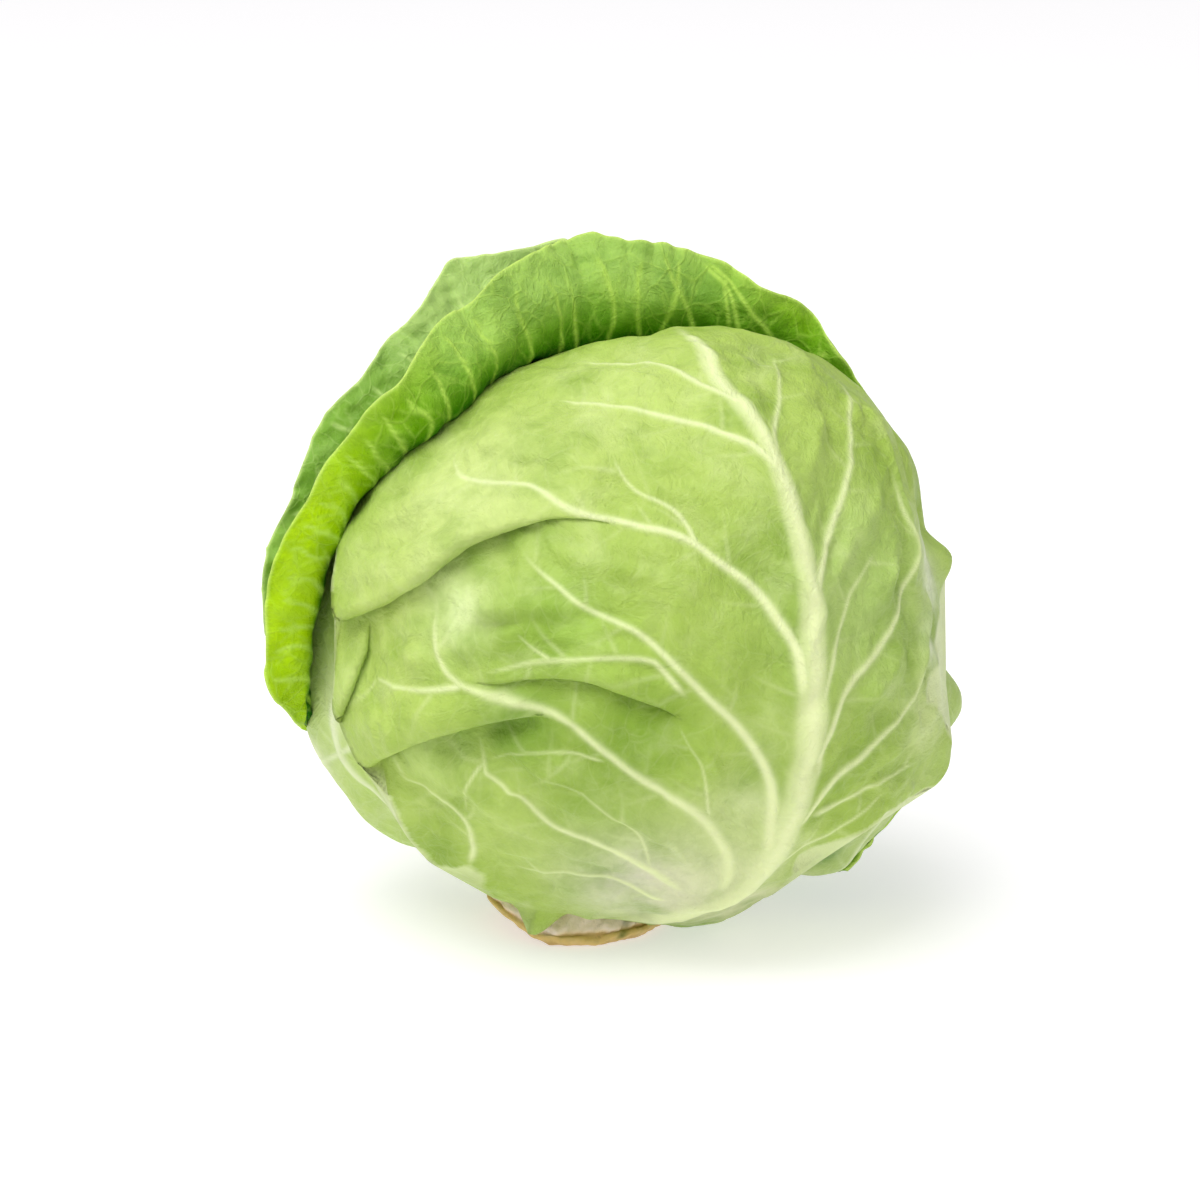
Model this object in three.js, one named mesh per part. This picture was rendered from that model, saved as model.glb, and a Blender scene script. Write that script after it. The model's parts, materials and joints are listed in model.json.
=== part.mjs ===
// A cabbage head standing on its cut stem: the stem, the packed heart, three pale leaves
// that close round the heart, and two dark wrapper leaves that cup its back and roll outward.
//
// Units are millimetres and degrees, +Z is up, and the front looks towards -Y.
// The origin is the middle of the stem's cut face, on the table.
//
// A leaf is a fan on the head, from an arc round the stem to a rim, or rings round its own middle. A rim point
// is given either as drawn on the front elevation, which looks down on the head by VIEW_TILT,
// or by its clock angle (0 right, 90 top) and its tilt away from the front.

import * as THREE from 'three';

// ---------------------------------------------------------------- driving dimensions

const HEAD_CENTRE = new THREE.Vector3(16, 6, 79.5);
const HEAD_NEAR_RADIUS = 80;
const HEAD_FAR_RADIUS = 76;

// Radius of the head's outline in the front elevation, by clock angle.
const HEAD_OUTLINE = [
  [0, 83.5], [24, 83], [47, 86], [64, 84], [81, 78.5], [95, 75.3], [109, 73.7], [123, 75.8],
  [140, 80], [160, 83.5], [180, 85.5], [202, 88], [217, 86.5], [233, 82], [252, 79], [270, 77.5],
  [284, 78.3], [297, 78], [312, 83], [328, 88], [345, 88],
];

const VIEW_TILT = 15;
const VIEW_DISTANCE = 1200;
const VIEW_AIM = [-9.5, 7.5];

// The hollow under the head that the stem stands in, and the bulge of the front midrib's foot.
const STEM_HOLLOW = { at: [-9, -4, 0], depth: 9.5, spread: 15 };
const MIDRIB_FOOT = { at: [33, 4, 0], rise: 4.5, spread: 10 };

const STEM = {
  cutRadius: 22.3, rimRadius: 24.3, rimHeight: 3.6, neckRadius: 20.8, height: 17.5, sides: 30,
  slantStart: -7, slant: 0.42,
};
const HEART = { depth: 8.5, hollow: 3.5, rings: 14, sides: 24 };

const BLADE_THICKNESS = 1.1;

const toRadians = THREE.MathUtils.degToRad;
const { lerp, clamp, smoothstep } = THREE.MathUtils;

// ---------------------------------------------------------------- the head's form

const ACROSS = new THREE.Vector3(1, 0, 0);
const RISE = new THREE.Vector3(0, Math.sin(toRadians(VIEW_TILT)), Math.cos(toRadians(VIEW_TILT)));
const NEAR = new THREE.Vector3(0, -Math.cos(toRadians(VIEW_TILT)), Math.sin(toRadians(VIEW_TILT)));

const fromHeadCentre = (point) => new THREE.Vector3(...point).sub(HEAD_CENTRE).normalize();
const HOLLOW_AXIS = fromHeadCentre(STEM_HOLLOW.at);
const FOOT_AXIS = fromHeadCentre(MIDRIB_FOOT.at);
const STEM_AXIS = fromHeadCentre([0, 0, 0]);

/** Cubic through four values, the middle two at fraction 0 and 1. */
function cubic(before, start, end, after, fraction) {
  const bend = 2 * before - 5 * start + 4 * end - after;
  const twist = 3 * (start - end) + after - before;
  return start + 0.5 * fraction * (end - before + fraction * (bend + fraction * twist));
}

/** Outline radius of the head at a clock angle in degrees, smooth all the way round. */
function outlineRadius(clock) {
  const count = HEAD_OUTLINE.length;
  const turn = ((clock % 360) + 360) % 360;
  let index = HEAD_OUTLINE.findIndex((entry) => entry[0] > turn) - 1;
  if (index < 0) {
    index = count - 1;
  }
  const start = HEAD_OUTLINE[index][0];
  const end = index === count - 1 ? 360 : HEAD_OUTLINE[index + 1][0];
  const radius = (step) => HEAD_OUTLINE[(index + step + count) % count][1];
  return cubic(radius(-1), radius(0), radius(1), radius(2), (turn - start) / (end - start));
}

/** A smooth hump, 1 on the axis and falling off over the spread in degrees. */
function hump(direction, axis, spread) {
  const angle = direction.angleTo(axis) / toRadians(spread);
  return Math.exp(-angle * angle);
}

/** Distance from the head's centre to its surface along a unit direction. */
function headRadius(direction) {
  const near = direction.dot(NEAR);
  const clock = THREE.MathUtils.radToDeg(Math.atan2(direction.dot(RISE), direction.dot(ACROSS)));
  const axial = near > 0 ? HEAD_NEAR_RADIUS : HEAD_FAR_RADIUS;
  const round = axial + (outlineRadius(clock) - axial) * (1 - near * near);
  return round
    - STEM_HOLLOW.depth * hump(direction, HOLLOW_AXIS, STEM_HOLLOW.spread)
    + MIDRIB_FOOT.rise * hump(direction, FOOT_AXIS, MIDRIB_FOOT.spread);
}

/** Point on a ray from the head's centre, held at or above a height over the table. */
function onRay(direction, radius, lowest = 0) {
  const reach = direction.z < 0 ? (HEAD_CENTRE.z - lowest) / -direction.z : Infinity;
  return HEAD_CENTRE.clone().addScaledVector(direction, Math.min(radius, reach));
}

/** Direction of the surface point that the front elevation shows at (across, up) from the centre. */
function drawnDirection(across, up) {
  const direction = new THREE.Vector3();
  let depth = HEAD_NEAR_RADIUS / 2;
  for (let pass = 0; pass < 12; pass += 1) {
    const shrink = 1 - depth / VIEW_DISTANCE;
    const x = VIEW_AIM[0] + (across - VIEW_AIM[0]) * shrink;
    const y = VIEW_AIM[1] + (up - VIEW_AIM[1]) * shrink;
    direction.set(0, 0, 0)
      .addScaledVector(ACROSS, x)
      .addScaledVector(RISE, y)
      .addScaledVector(NEAR, depth)
      .normalize();
    const radius = headRadius(direction);
    depth = lerp(depth, Math.sqrt(Math.max(radius * radius - x * x - y * y, 0)), 0.7);
  }
  return direction;
}

/** Direction at a clock angle and a tilt away from the front, both in degrees. */
function roundDirection(clock, tilt) {
  const side = Math.sin(toRadians(tilt));
  return new THREE.Vector3()
    .addScaledVector(ACROSS, side * Math.cos(toRadians(clock)))
    .addScaledVector(RISE, side * Math.sin(toRadians(clock)))
    .addScaledVector(NEAR, Math.cos(toRadians(tilt)));
}

/** Drawn position (across, up) of a direction's surface point in the front elevation. */
function drawnAt(direction) {
  const radius = headRadius(direction);
  const shrink = 1 - (radius * direction.dot(NEAR)) / VIEW_DISTANCE;
  return new THREE.Vector2(
    VIEW_AIM[0] + (direction.dot(ACROSS) * radius - VIEW_AIM[0]) / shrink,
    VIEW_AIM[1] + (direction.dot(RISE) * radius - VIEW_AIM[1]) / shrink,
  );
}

// Rim stations: a direction from the head's centre, and a lift off the head.

const drawn = (across, up, lift = 0) => ({ direction: drawnDirection(across, up), lift });

const round = (clock, tilt, lift = 0) => ({ direction: roundDirection(clock, tilt), lift });

/** A rim station at a real point of the part. */
function at(...point) {
  const direction = fromHeadCentre(point);
  return { direction, lift: HEAD_CENTRE.distanceTo(new THREE.Vector3(...point)) - headRadius(direction) };
}

// ---------------------------------------------------------------- leaf building

/** Value of a list at a fraction of its length, smooth through its entries. */
function along(values, fraction) {
  const last = values.length - 1;
  const place = clamp(fraction, 0, 1) * last;
  const index = Math.min(Math.floor(place), last - 1);
  const value = (step) => values[clamp(index + step, 0, last)];
  return cubic(value(-1), value(0), value(1), value(2), place - index);
}

/** Direction at a fraction of a list of directions, smooth through its entries. */
function alongDirections(directions, fraction) {
  const part = (axis) => along(directions.map((direction) => direction[axis]), fraction);
  return new THREE.Vector3(part('x'), part('y'), part('z')).normalize();
}

/** Direction on the foot arc round the stem, from its world bearing in degrees. */
function footDirection(bearing, angle) {
  const outward = new THREE.Vector3(Math.cos(toRadians(bearing)), Math.sin(toRadians(bearing)), 0);
  outward.addScaledVector(STEM_AXIS, -outward.dot(STEM_AXIS)).normalize();
  return STEM_AXIS.clone().multiplyScalar(Math.cos(toRadians(angle)))
    .addScaledVector(outward, Math.sin(toRadians(angle)));
}

/** Direction inside a leaf's fan: run 0 is the foot and 1 the rim, turn goes along the rim. */
function fanDirection(leaf, run, turn) {
  const foot = footDirection(lerp(leaf.bearings[0], leaf.bearings[1], turn), leaf.footAngle);
  const rim = alongDirections(leaf.rim.map((station) => station.direction), turn);
  const pull = leaf.pull * (1 - foot.dot(rim)) / 2;
  const middle = foot.clone().add(rim).multiplyScalar(0.5).addScaledVector(leaf.belly, pull).normalize();
  foot.multiplyScalar((1 - run) ** 2)
    .addScaledVector(middle, 2 * run * (1 - run))
    .addScaledVector(rim, run ** 2)
    .normalize();
  return clearOfStem(foot, leaf.footAngle);
}

/** The direction itself, or turned outward to stay an angle away from the stem. */
function clearOfStem(direction, angle) {
  const cosine = direction.dot(STEM_AXIS);
  if (cosine <= Math.cos(toRadians(angle))) {
    return direction;
  }
  const outward = direction.clone().addScaledVector(STEM_AXIS, -cosine).normalize();
  return STEM_AXIS.clone().multiplyScalar(Math.cos(toRadians(angle)))
    .addScaledVector(outward, Math.sin(toRadians(angle)));
}

/** Point of a leaf's outer face, sunk into the leaf by a depth. */
function fanPoint(leaf, run, turn, sink = 0) {
  const direction = fanDirection(leaf, run, turn);
  const rimLift = along(leaf.rim.map((station) => station.lift), turn) * run ** 6;
  const radius = headRadius(direction) + leaf.lift(run, turn, direction) + rimLift - sink;
  return onRay(direction, radius, leaf.lowest + sink);
}

/** Closed solid from two grids of points that are split alike, joined round their edges. */
function shellGeometry(outer, inner) {
  const rows = outer.length;
  const columns = outer[0].length;
  const positions = [...outer.flat(), ...inner.flat()].flatMap((point) => point.toArray());
  const at = (row, column) => row * columns + column;
  const under = (index) => index + rows * columns;
  const faces = [];
  const quad = (a, b, c, d) => faces.push(a, b, c, a, c, d);
  for (let row = 0; row + 1 < rows; row += 1) {
    for (let column = 0; column + 1 < columns; column += 1) {
      const [a, b] = [at(row, column), at(row, column + 1)];
      const [c, d] = [at(row + 1, column + 1), at(row + 1, column)];
      quad(a, b, c, d);
      faces.push(under(a), under(c), under(b), under(a), under(d), under(c));
    }
  }
  for (let column = 0; column + 1 < columns; column += 1) {
    const [a, b] = [at(0, column), at(0, column + 1)];
    const [c, d] = [at(rows - 1, column), at(rows - 1, column + 1)];
    quad(b, a, under(a), under(b));
    quad(c, d, under(d), under(c));
  }
  for (let row = 0; row + 1 < rows; row += 1) {
    const [a, b] = [at(row, 0), at(row + 1, 0)];
    const [c, d] = [at(row, columns - 1), at(row + 1, columns - 1)];
    quad(a, b, under(b), under(a));
    quad(d, c, under(c), under(d));
  }
  const geometry = new THREE.BufferGeometry();
  geometry.setAttribute('position', new THREE.Float32BufferAttribute(positions, 3));
  geometry.setIndex(faces);
  geometry.computeVertexNormals();
  return geometry;
}

/** Unit normals of a grid of points, pointing away from the head. */
function gridNormals(grid) {
  const rows = grid.length;
  const columns = grid[0].length;
  return grid.map((line, row) => line.map((point, column) => {
    const alongRow = grid[row][Math.min(column + 1, columns - 1)].clone()
      .sub(grid[row][Math.max(column - 1, 0)]);
    const alongColumn = grid[Math.min(row + 1, rows - 1)][column].clone()
      .sub(grid[Math.max(row - 1, 0)][column]);
    return alongRow.cross(alongColumn).normalize();
  }));
}

/** A grid of values, made for each row fraction and column fraction. */
function grid(rows, columns, make) {
  return Array.from({ length: rows + 1 }, (_, row) => (
    Array.from({ length: columns + 1 }, (_, column) => make(row / rows, column / columns))
  ));
}

/**
 * A leaf that lies on the head, made of rings round its own middle: its edge is the rim and the
 * arc round the stem, and every part of the edge can be seen straight from the middle.
 */
function ringedLeaf(leaf) {
  const bearings = [leaf.bearings[1], leaf.bearings[0]];
  const edge = [
    ...Array.from({ length: leaf.columns + 1 }, (_, index) => {
      const turn = index / leaf.columns;
      return {
        direction: clearOfStem(alongDirections(leaf.rim.map((station) => station.direction), turn), leaf.footAngle),
        lift: along(leaf.rim.map((station) => station.lift), turn),
      };
    }),
    ...Array.from({ length: leaf.footColumns + 1 }, (_, index) => ({
      direction: footDirection(lerp(...bearings, index / leaf.footColumns), leaf.footAngle),
      lift: 0,
    })),
  ];
  const pointAt = (station, ring, sink) => {
    const direction = leaf.middle.clone();
    const angle = leaf.middle.angleTo(station.direction);
    direction.multiplyScalar(Math.sin(angle * (1 - ring)))
      .addScaledVector(station.direction, Math.sin(angle * ring))
      .normalize();
    const radius = headRadius(direction) + leaf.lift(direction) + station.lift * ring ** 6 - sink;
    return onRay(direction, radius, leaf.lowest + sink);
  };
  const face = (sink) => [
    pointAt(edge[0], 0, sink),
    ...Array.from({ length: leaf.rings }, (_, row) => (
      edge.map((station) => pointAt(station, (row + 1) / leaf.rings, sink))
    )).flat(),
  ];
  return discGeometry(face(0), face(BLADE_THICKNESS), leaf.rings, edge.length);
}

/** Closed solid from two faces of rings round a middle point, joined round their edge. */
function discGeometry(outer, inner, rings, spokes) {
  const positions = [...outer, ...inner].flatMap((point) => point.toArray());
  const at = (ring, spoke) => 1 + (ring - 1) * spokes + (spoke % spokes);
  const under = (index) => index + outer.length;
  const faces = [];
  const both = (a, b, c) => faces.push(a, c, b, under(a), under(b), under(c));
  for (let spoke = 0; spoke < spokes; spoke += 1) {
    both(0, at(1, spoke), at(1, spoke + 1));
    for (let ring = 1; ring < rings; ring += 1) {
      both(at(ring, spoke), at(ring + 1, spoke), at(ring + 1, spoke + 1));
      both(at(ring, spoke), at(ring + 1, spoke + 1), at(ring, spoke + 1));
    }
    const [a, b] = [at(rings, spoke), at(rings, spoke + 1)];
    faces.push(a, b, under(b), a, under(b), under(a));
  }
  const geometry = new THREE.BufferGeometry();
  geometry.setAttribute('position', new THREE.Float32BufferAttribute(positions, 3));
  geometry.setIndex(faces);
  geometry.computeVertexNormals();
  return geometry;
}

/** A leaf that lies on the head. */
function layingLeaf(leaf) {
  const face = (sink) => grid(leaf.rows, leaf.columns, (run, fraction) => (
    fanPoint(leaf, run, fraction, sink)
  ));
  return shellGeometry(face(0), face(BLADE_THICKNESS));
}

/**
 * A leaf that cups the head and rolls outward at its rim. The roll leaves the head at the rim
 * station, turns away from it on a radius, and ends in a flap with a waved edge.
 */
function rolledLeaf(leaf) {
  const outer = grid(leaf.rows + leaf.rollRows, leaf.columns, (fraction, turn) => {
    const row = fraction * (leaf.rows + leaf.rollRows);
    const start = fanPoint(leaf, Math.min(row / leaf.rows, 1), turn);
    return row <= leaf.rows ? start : rollPoint(leaf, start, turn, (row - leaf.rows) / leaf.rollRows);
  });
  const normals = gridNormals(outer);
  const inner = outer.map((line, row) => line.map((point, column) => (
    point.clone().addScaledVector(normals[row][column], -BLADE_THICKNESS)
  )));
  return shellGeometry(outer, inner);
}

/** Point on the roll of a leaf, at a fraction of the way from its rim station to its free edge. */
function rollPoint(leaf, start, turn, fraction) {
  const roll = (name) => along(leaf.rim.map((station) => station[name]), turn);
  const radius = roll('radius');
  const bend = toRadians(roll('bend'));
  const flap = roll('flap');
  const rim = fanDirection(leaf, 1, turn);
  const before = fanDirection(leaf, 0.97, turn);
  const forward = rim.clone().sub(before);
  forward.addScaledVector(rim, -forward.dot(rim)).normalize();
  const arc = radius * bend;
  const travelled = (arc + flap) * fraction;
  const angle = Math.min(travelled / radius, bend);
  const straight = Math.max(travelled - arc, 0);
  const ahead = radius * Math.sin(angle) + straight * Math.cos(angle);
  const away = radius * (1 - Math.cos(angle)) + straight * Math.sin(angle);
  const wave = leaf.wave.height * Math.sin(2 * Math.PI * leaf.wave.count * turn + leaf.wave.phase);
  const crimp = wave * fraction ** 2 * smoothstep(flap + arc, 0, 12);
  return start.clone()
    .addScaledVector(forward, ahead - crimp * Math.sin(angle))
    .addScaledVector(rim, away + crimp * Math.cos(angle));
}

// ---------------------------------------------------------------- front leaf

const MIDRIB_LINE = [
  [24, -67], [32, -61], [39, -49], [44, -33], [45.5, -14], [44.5, 8], [41, 28], [33, 49], [20, 67], [8, 80],
].map(([across, up]) => new THREE.Vector2(across, up));

// The two long folds, where the part of the blade above laps over the part below.
const FOLD_LINES = [
  [[-74, 1.5], [-62, 7.5], [-50, 18], [-36, 25], [-20, 29], [-8, 29]],
  [[-68, -34.5], [-54, -29.5], [-36, -24.5], [-20, -24.5]],
].map((line) => line.map(([across, up]) => new THREE.Vector2(across, up)));

const FRONT_RELIEF = {
  ribFoot: 4.4, ribTip: 1.4, ribWide: 10, ribNarrow: 5.5, foldStep: 2.8, foldDip: 0.8, foldFade: 16, foldBlend: 3.6,
  fadeOut: -0.25, fadeIn: 0.1,
};

/** Nearest place on a drawn line: its distance, its fraction, and the side (1 above the line). */
function nearestOn(line, point) {
  let best = { distance: Infinity, fraction: 0, side: 1 };
  for (let index = 0; index + 1 < line.length; index += 1) {
    const step = line[index + 1].clone().sub(line[index]);
    const from = point.clone().sub(line[index]);
    const share = clamp(from.dot(step) / step.lengthSq(), 0, 1);
    const distance = from.distanceTo(step.clone().multiplyScalar(share));
    if (distance < best.distance) {
      best = { distance, fraction: (index + share) / (line.length - 1), side: Math.sign(step.cross(from)) || 1 };
    }
  }
  return best;
}

/** Height of the front leaf's outer face over the head: midrib and folds. */
function frontRelief(direction) {
  const near = direction.dot(NEAR);
  if (near < FRONT_RELIEF.fadeOut) {
    return 0;
  }
  const point = drawnAt(direction);
  const rib = nearestOn(MIDRIB_LINE, point);
  const width = lerp(FRONT_RELIEF.ribWide, FRONT_RELIEF.ribNarrow, rib.fraction);
  const height = lerp(FRONT_RELIEF.ribFoot, FRONT_RELIEF.ribTip, Math.sqrt(rib.fraction));
  let relief = height * Math.exp(-((rib.distance / width) ** 2))
    * smoothstep(near, FRONT_RELIEF.fadeOut, FRONT_RELIEF.fadeIn);
  for (const line of FOLD_LINES) {
    const fold = nearestOn(line, point);
    const ends = smoothstep(1 - fold.fraction, 0, 0.35);
    const fade = Math.max(1 - fold.distance / FRONT_RELIEF.foldFade, 0) ** 2;
    const above = (1 + Math.tanh((fold.side * fold.distance) / FRONT_RELIEF.foldBlend)) / 2;
    relief += lerp(-FRONT_RELIEF.foldDip, FRONT_RELIEF.foldStep, above) * ends * fade;
  }
  return relief;
}

const FRONT_LEAF = {
  lowest: 0,
  bearings: [-48, 8],
  footAngle: 19.6,
  middle: drawnDirection(38, -4),
  rings: 20,
  columns: 104,
  footColumns: 8,
  lift: frontRelief,
  rim: [
    drawn(-1, -75), drawn(-6, -72.5), drawn(-10, -73.5), at(-12, -28, 4), drawn(-30, -70), drawn(-40, -64.5),
    drawn(-52, -60.5), drawn(-61.5, -48), drawn(-67.5, -35), drawn(-77, -22.5), drawn(-78.5, -8), drawn(-80, 8),
    drawn(-77, 27), round(148, 72), round(136, 86), round(122, 98), round(104, 108), round(86, 110),
    round(68, 108), round(50, 104), round(34, 100), round(20, 96), round(10, 91, 2.5), drawn(81, -5),
    drawn(79, -18), drawn(81, -30, 1), drawn(69, -47.5), drawn(61, -59), drawn(50, -61), drawn(40, -66.5),
    at(36, 6, 1),
  ],
};

// ---------------------------------------------------------------- side leaves

// The side leaves lie deep under the front leaf's edge and come out level with it at the sides.
const UNDER_LAP = { buried: -3.7, shown: -1.4 };

const sideLift = (amount) => lerp(UNDER_LAP.buried, UNDER_LAP.shown, amount);

const LEFT_LEAF = {
  lowest: 2,
  bearings: [150, 252],
  footAngle: 18.5,
  belly: roundDirection(205, 75),
  pull: 0.7,
  rows: 12,
  columns: 20,
  lift: (run, turn, direction) => sideLift(smoothstep(-direction.dot(ACROSS), 0.88, 1)),
  rim: [
    round(244, 120), round(222, 126), round(200, 128), round(178, 124), round(160, 112), round(150, 96),
    round(148, 78), round(158, 62), drawn(-62, 12), drawn(-62, -10), drawn(-54, -32), drawn(-40, -50),
    drawn(-24, -66),
  ],
};

const RIGHT_LEAF = {
  lowest: 4.4,
  bearings: [12, 62],
  footAngle: 18.5,
  belly: roundDirection(-20, 100),
  pull: 0.7,
  rows: 12,
  columns: 18,
  lift: (run, turn, direction) => sideLift(smoothstep(-direction.dot(NEAR), -0.12, 0.25)),
  rim: [
    round(-46, 76), round(-34, 72), round(-22, 72), round(-10, 76), round(2, 82), round(14, 90),
    round(30, 100), round(44, 116), round(52, 132), round(62, 150),
  ],
};

// ---------------------------------------------------------------- wrapper leaves

const WRAPPER_RIB = { height: 2.6, width: 0.03, fade: 0.75 };

/** Raised midrib on a wrapper's outer face, fading towards the tip. */
function wrapperRib(run, turn, middle) {
  const offset = (turn - middle) / (WRAPPER_RIB.width * (1.6 - run));
  return WRAPPER_RIB.height * (1 - WRAPPER_RIB.fade * run) * Math.exp(-offset * offset);
}

const EDGE_WAVE = { height: 2.4, count: 3.5 };

/** Outward wave that fades away from a side edge of a wrapper, where the distance in is 0. */
function edgeWave(run, inward) {
  const crest = (1 - Math.cos(2 * Math.PI * EDGE_WAVE.count * run)) / 2;
  return EDGE_WAVE.height * crest * run * (1 - inward) ** 12;
}

/** Rim stations of a wrapper from clock angle, tilt, and the roll's radius, bend and flap. */
const rolled = ([clock, tilt, radius, bend, flap]) => ({ ...round(clock, tilt), radius, bend, flap });

const INNER_WRAPPER = {
  lowest: 2,
  bearings: [75, 160],
  footAngle: 18.5,
  belly: roundDirection(120, 172),
  pull: 1.2,
  rows: 10,
  rollRows: 7,
  columns: 42,
  wave: { height: 2, count: 11, phase: 0.6 },
  lift: (run, turn) => 2.4 + 0.3 * wrapperRib(run, turn, 0.5) + edgeWave(run, turn),
  rim: [
    [-50, 91, 5, 10, 2], [-41, 100, 5, 10, 2], [-26, 106, 5, 10, 2], [-6, 112, 5, 10, 2],
    [16, 114, 5, 12, 2], [36, 109, 5, 40, 2], [52, 104, 5, 70, 1], [64, 104, 8, 92, 3],
    [76, 104, 12, 100, 3], [89, 103, 14, 104, 6], [101, 98, 13, 106, 12], [113, 86, 10, 108, 11],
    [125, 71, 7, 112, 14], [138, 65, 5.5, 116, 13], [152, 69, 5, 118, 10], [166, 72, 4.5, 118, 8.5],
    [180, 78, 4, 118, 8], [191, 80, 3.5, 112, 6], [198, 90, 3, 60, 1],
  ].map(rolled),
};

const OUTER_WRAPPER = {
  lowest: 0.4,
  bearings: [100, 165],
  footAngle: 20,
  belly: roundDirection(150, 168),
  pull: 1.2,
  rows: 10,
  rollRows: 6,
  columns: 28,
  wave: { height: 1.8, count: 8, phase: 2 },
  lift: (run, turn) => 5 + wrapperRib(run, turn, 0.5) + edgeWave(run, turn) + edgeWave(run, 1 - turn),
  rim: [
    [76, 134, 10, 40, 4], [86, 126, 12, 60, 10], [98, 120, 14, 78, 13], [109, 114, 15, 86, 14],
    [118, 109, 14, 92, 17], [128, 102, 12, 94, 8], [139, 96, 9, 98, 5], [152, 92, 7, 98, 4],
    [165, 90, 5.5, 98, 4], [177, 91, 5, 90, 3], [190, 96, 4, 50, 1], [204, 104, 4, 20, 1],
  ].map(rolled),
};

// ---------------------------------------------------------------- stem and heart

/**
 * The cut stem: a flat face, a rounded rim and a short neck. The stem leans a little to the right,
 * so its cut lies flat on the table there and slants up off it on the left.
 */
function stemGeometry() {
  const profile = [
    [0, 0], [STEM.cutRadius * 0.4, 0], [STEM.cutRadius * 0.75, 0], [STEM.cutRadius, 0],
    [STEM.rimRadius, STEM.rimHeight * 0.45], [STEM.rimRadius, STEM.rimHeight],
    [STEM.neckRadius, STEM.rimHeight * 2], [STEM.neckRadius * 0.97, STEM.height * 0.75],
    [STEM.neckRadius * 0.8, STEM.height], [0, STEM.height],
  ].map(([radius, height]) => new THREE.Vector2(radius, height));
  const geometry = new THREE.LatheGeometry(profile, STEM.sides).rotateX(Math.PI / 2);
  const position = geometry.getAttribute('position');
  for (let index = 0; index < position.count; index += 1) {
    const height = position.getZ(index);
    const raised = STEM.slant * Math.max(STEM.slantStart - position.getX(index), 0);
    position.setZ(index, height + raised * (1 - height / STEM.height));
  }
  return geometry;
}

/** The packed inner leaves as one dense body, hollowed underneath where the stem enters. */
function heartGeometry() {
  const geometry = new THREE.SphereGeometry(1, HEART.sides, HEART.rings).rotateX(Math.PI / 2);
  const position = geometry.getAttribute('position');
  for (let index = 0; index < position.count; index += 1) {
    const direction = new THREE.Vector3().fromBufferAttribute(position, index).normalize();
    const hollow = HEART.hollow * hump(direction, STEM_AXIS, 22);
    const point = onRay(direction, headRadius(direction) - HEART.depth - hollow, STEM.height);
    position.setXYZ(index, point.x, point.y, point.z);
  }
  return geometry;
}

// ---------------------------------------------------------------- assembly

function piece(name, geometry, color, roughness) {
  const material = new THREE.MeshStandardMaterial({ color, roughness, metalness: 0 });
  const mesh = new THREE.Mesh(geometry, material);
  mesh.name = name;
  return mesh;
}

const PALE_GREEN = 0xb4cb7a;
const WHITE_GREEN = 0xcbd79a;
const BRIGHT_GREEN = 0x7fae1c;
const GREY_GREEN = 0xa4bf74;
const CREAM = 0xc9cc9a;

const cabbage = new THREE.Group();
cabbage.add(
  piece('stem', stemGeometry(), CREAM, 0.6),
  piece('heart', heartGeometry(), WHITE_GREEN, 0.5),
  piece('front_leaf', ringedLeaf(FRONT_LEAF), PALE_GREEN, 0.45),
  piece('left_leaf', layingLeaf(LEFT_LEAF), WHITE_GREEN, 0.45),
  piece('right_leaf', layingLeaf(RIGHT_LEAF), WHITE_GREEN, 0.45),
  piece('inner_wrapper_leaf', rolledLeaf(INNER_WRAPPER), BRIGHT_GREEN, 0.4),
  piece('outer_wrapper_leaf', rolledLeaf(OUTER_WRAPPER), GREY_GREEN, 0.5),
);

export default cabbage;
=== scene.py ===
"""A cabbage head on its cut stem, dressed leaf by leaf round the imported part.

Sizes are millimetres and degrees, as a grower would give them, and the meshes are made in metres.
+Z is up, the front looks towards -Y, and the origin is the middle of the stem's cut face.
"""

import json
import logging
import math
from dataclasses import dataclass
from enum import Enum
from typing import Callable, Optional, Sequence

import bpy
import numpy as np
from mathutils import Matrix, Vector
from mathutils.geometry import delaunay_2d_cdt

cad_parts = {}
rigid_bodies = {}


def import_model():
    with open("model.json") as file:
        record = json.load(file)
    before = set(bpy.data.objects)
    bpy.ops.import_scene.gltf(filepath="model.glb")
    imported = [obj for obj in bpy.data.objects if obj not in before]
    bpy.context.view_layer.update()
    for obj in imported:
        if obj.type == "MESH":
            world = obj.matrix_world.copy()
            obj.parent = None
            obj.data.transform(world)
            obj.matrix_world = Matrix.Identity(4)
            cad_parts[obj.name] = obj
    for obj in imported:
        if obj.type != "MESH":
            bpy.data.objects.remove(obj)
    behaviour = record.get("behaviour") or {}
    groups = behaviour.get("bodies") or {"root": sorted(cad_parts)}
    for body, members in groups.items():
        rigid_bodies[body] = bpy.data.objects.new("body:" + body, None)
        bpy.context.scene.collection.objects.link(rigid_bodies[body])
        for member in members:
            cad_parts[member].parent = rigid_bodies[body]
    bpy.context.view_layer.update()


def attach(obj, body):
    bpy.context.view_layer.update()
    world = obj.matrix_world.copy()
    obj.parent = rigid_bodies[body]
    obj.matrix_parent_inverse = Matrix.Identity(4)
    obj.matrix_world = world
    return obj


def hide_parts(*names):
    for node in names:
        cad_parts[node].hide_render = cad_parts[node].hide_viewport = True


Array = np.ndarray
Drawn = tuple[float, float]

MM = 0.001
BODY = "root"
LOG = logging.getLogger("cabbage")


# ---- small sums


def unit(vectors: Array) -> Array:
    """Vectors of length one."""
    return vectors / np.linalg.norm(vectors, axis=-1, keepdims=True)


def smooth(value: Array, low: float, high: float) -> Array:
    """Smooth step from 0 at low to 1 at high."""
    share = np.clip((value - low) / (high - low), 0, 1)
    return share * share * (3 - 2 * share)


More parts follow.
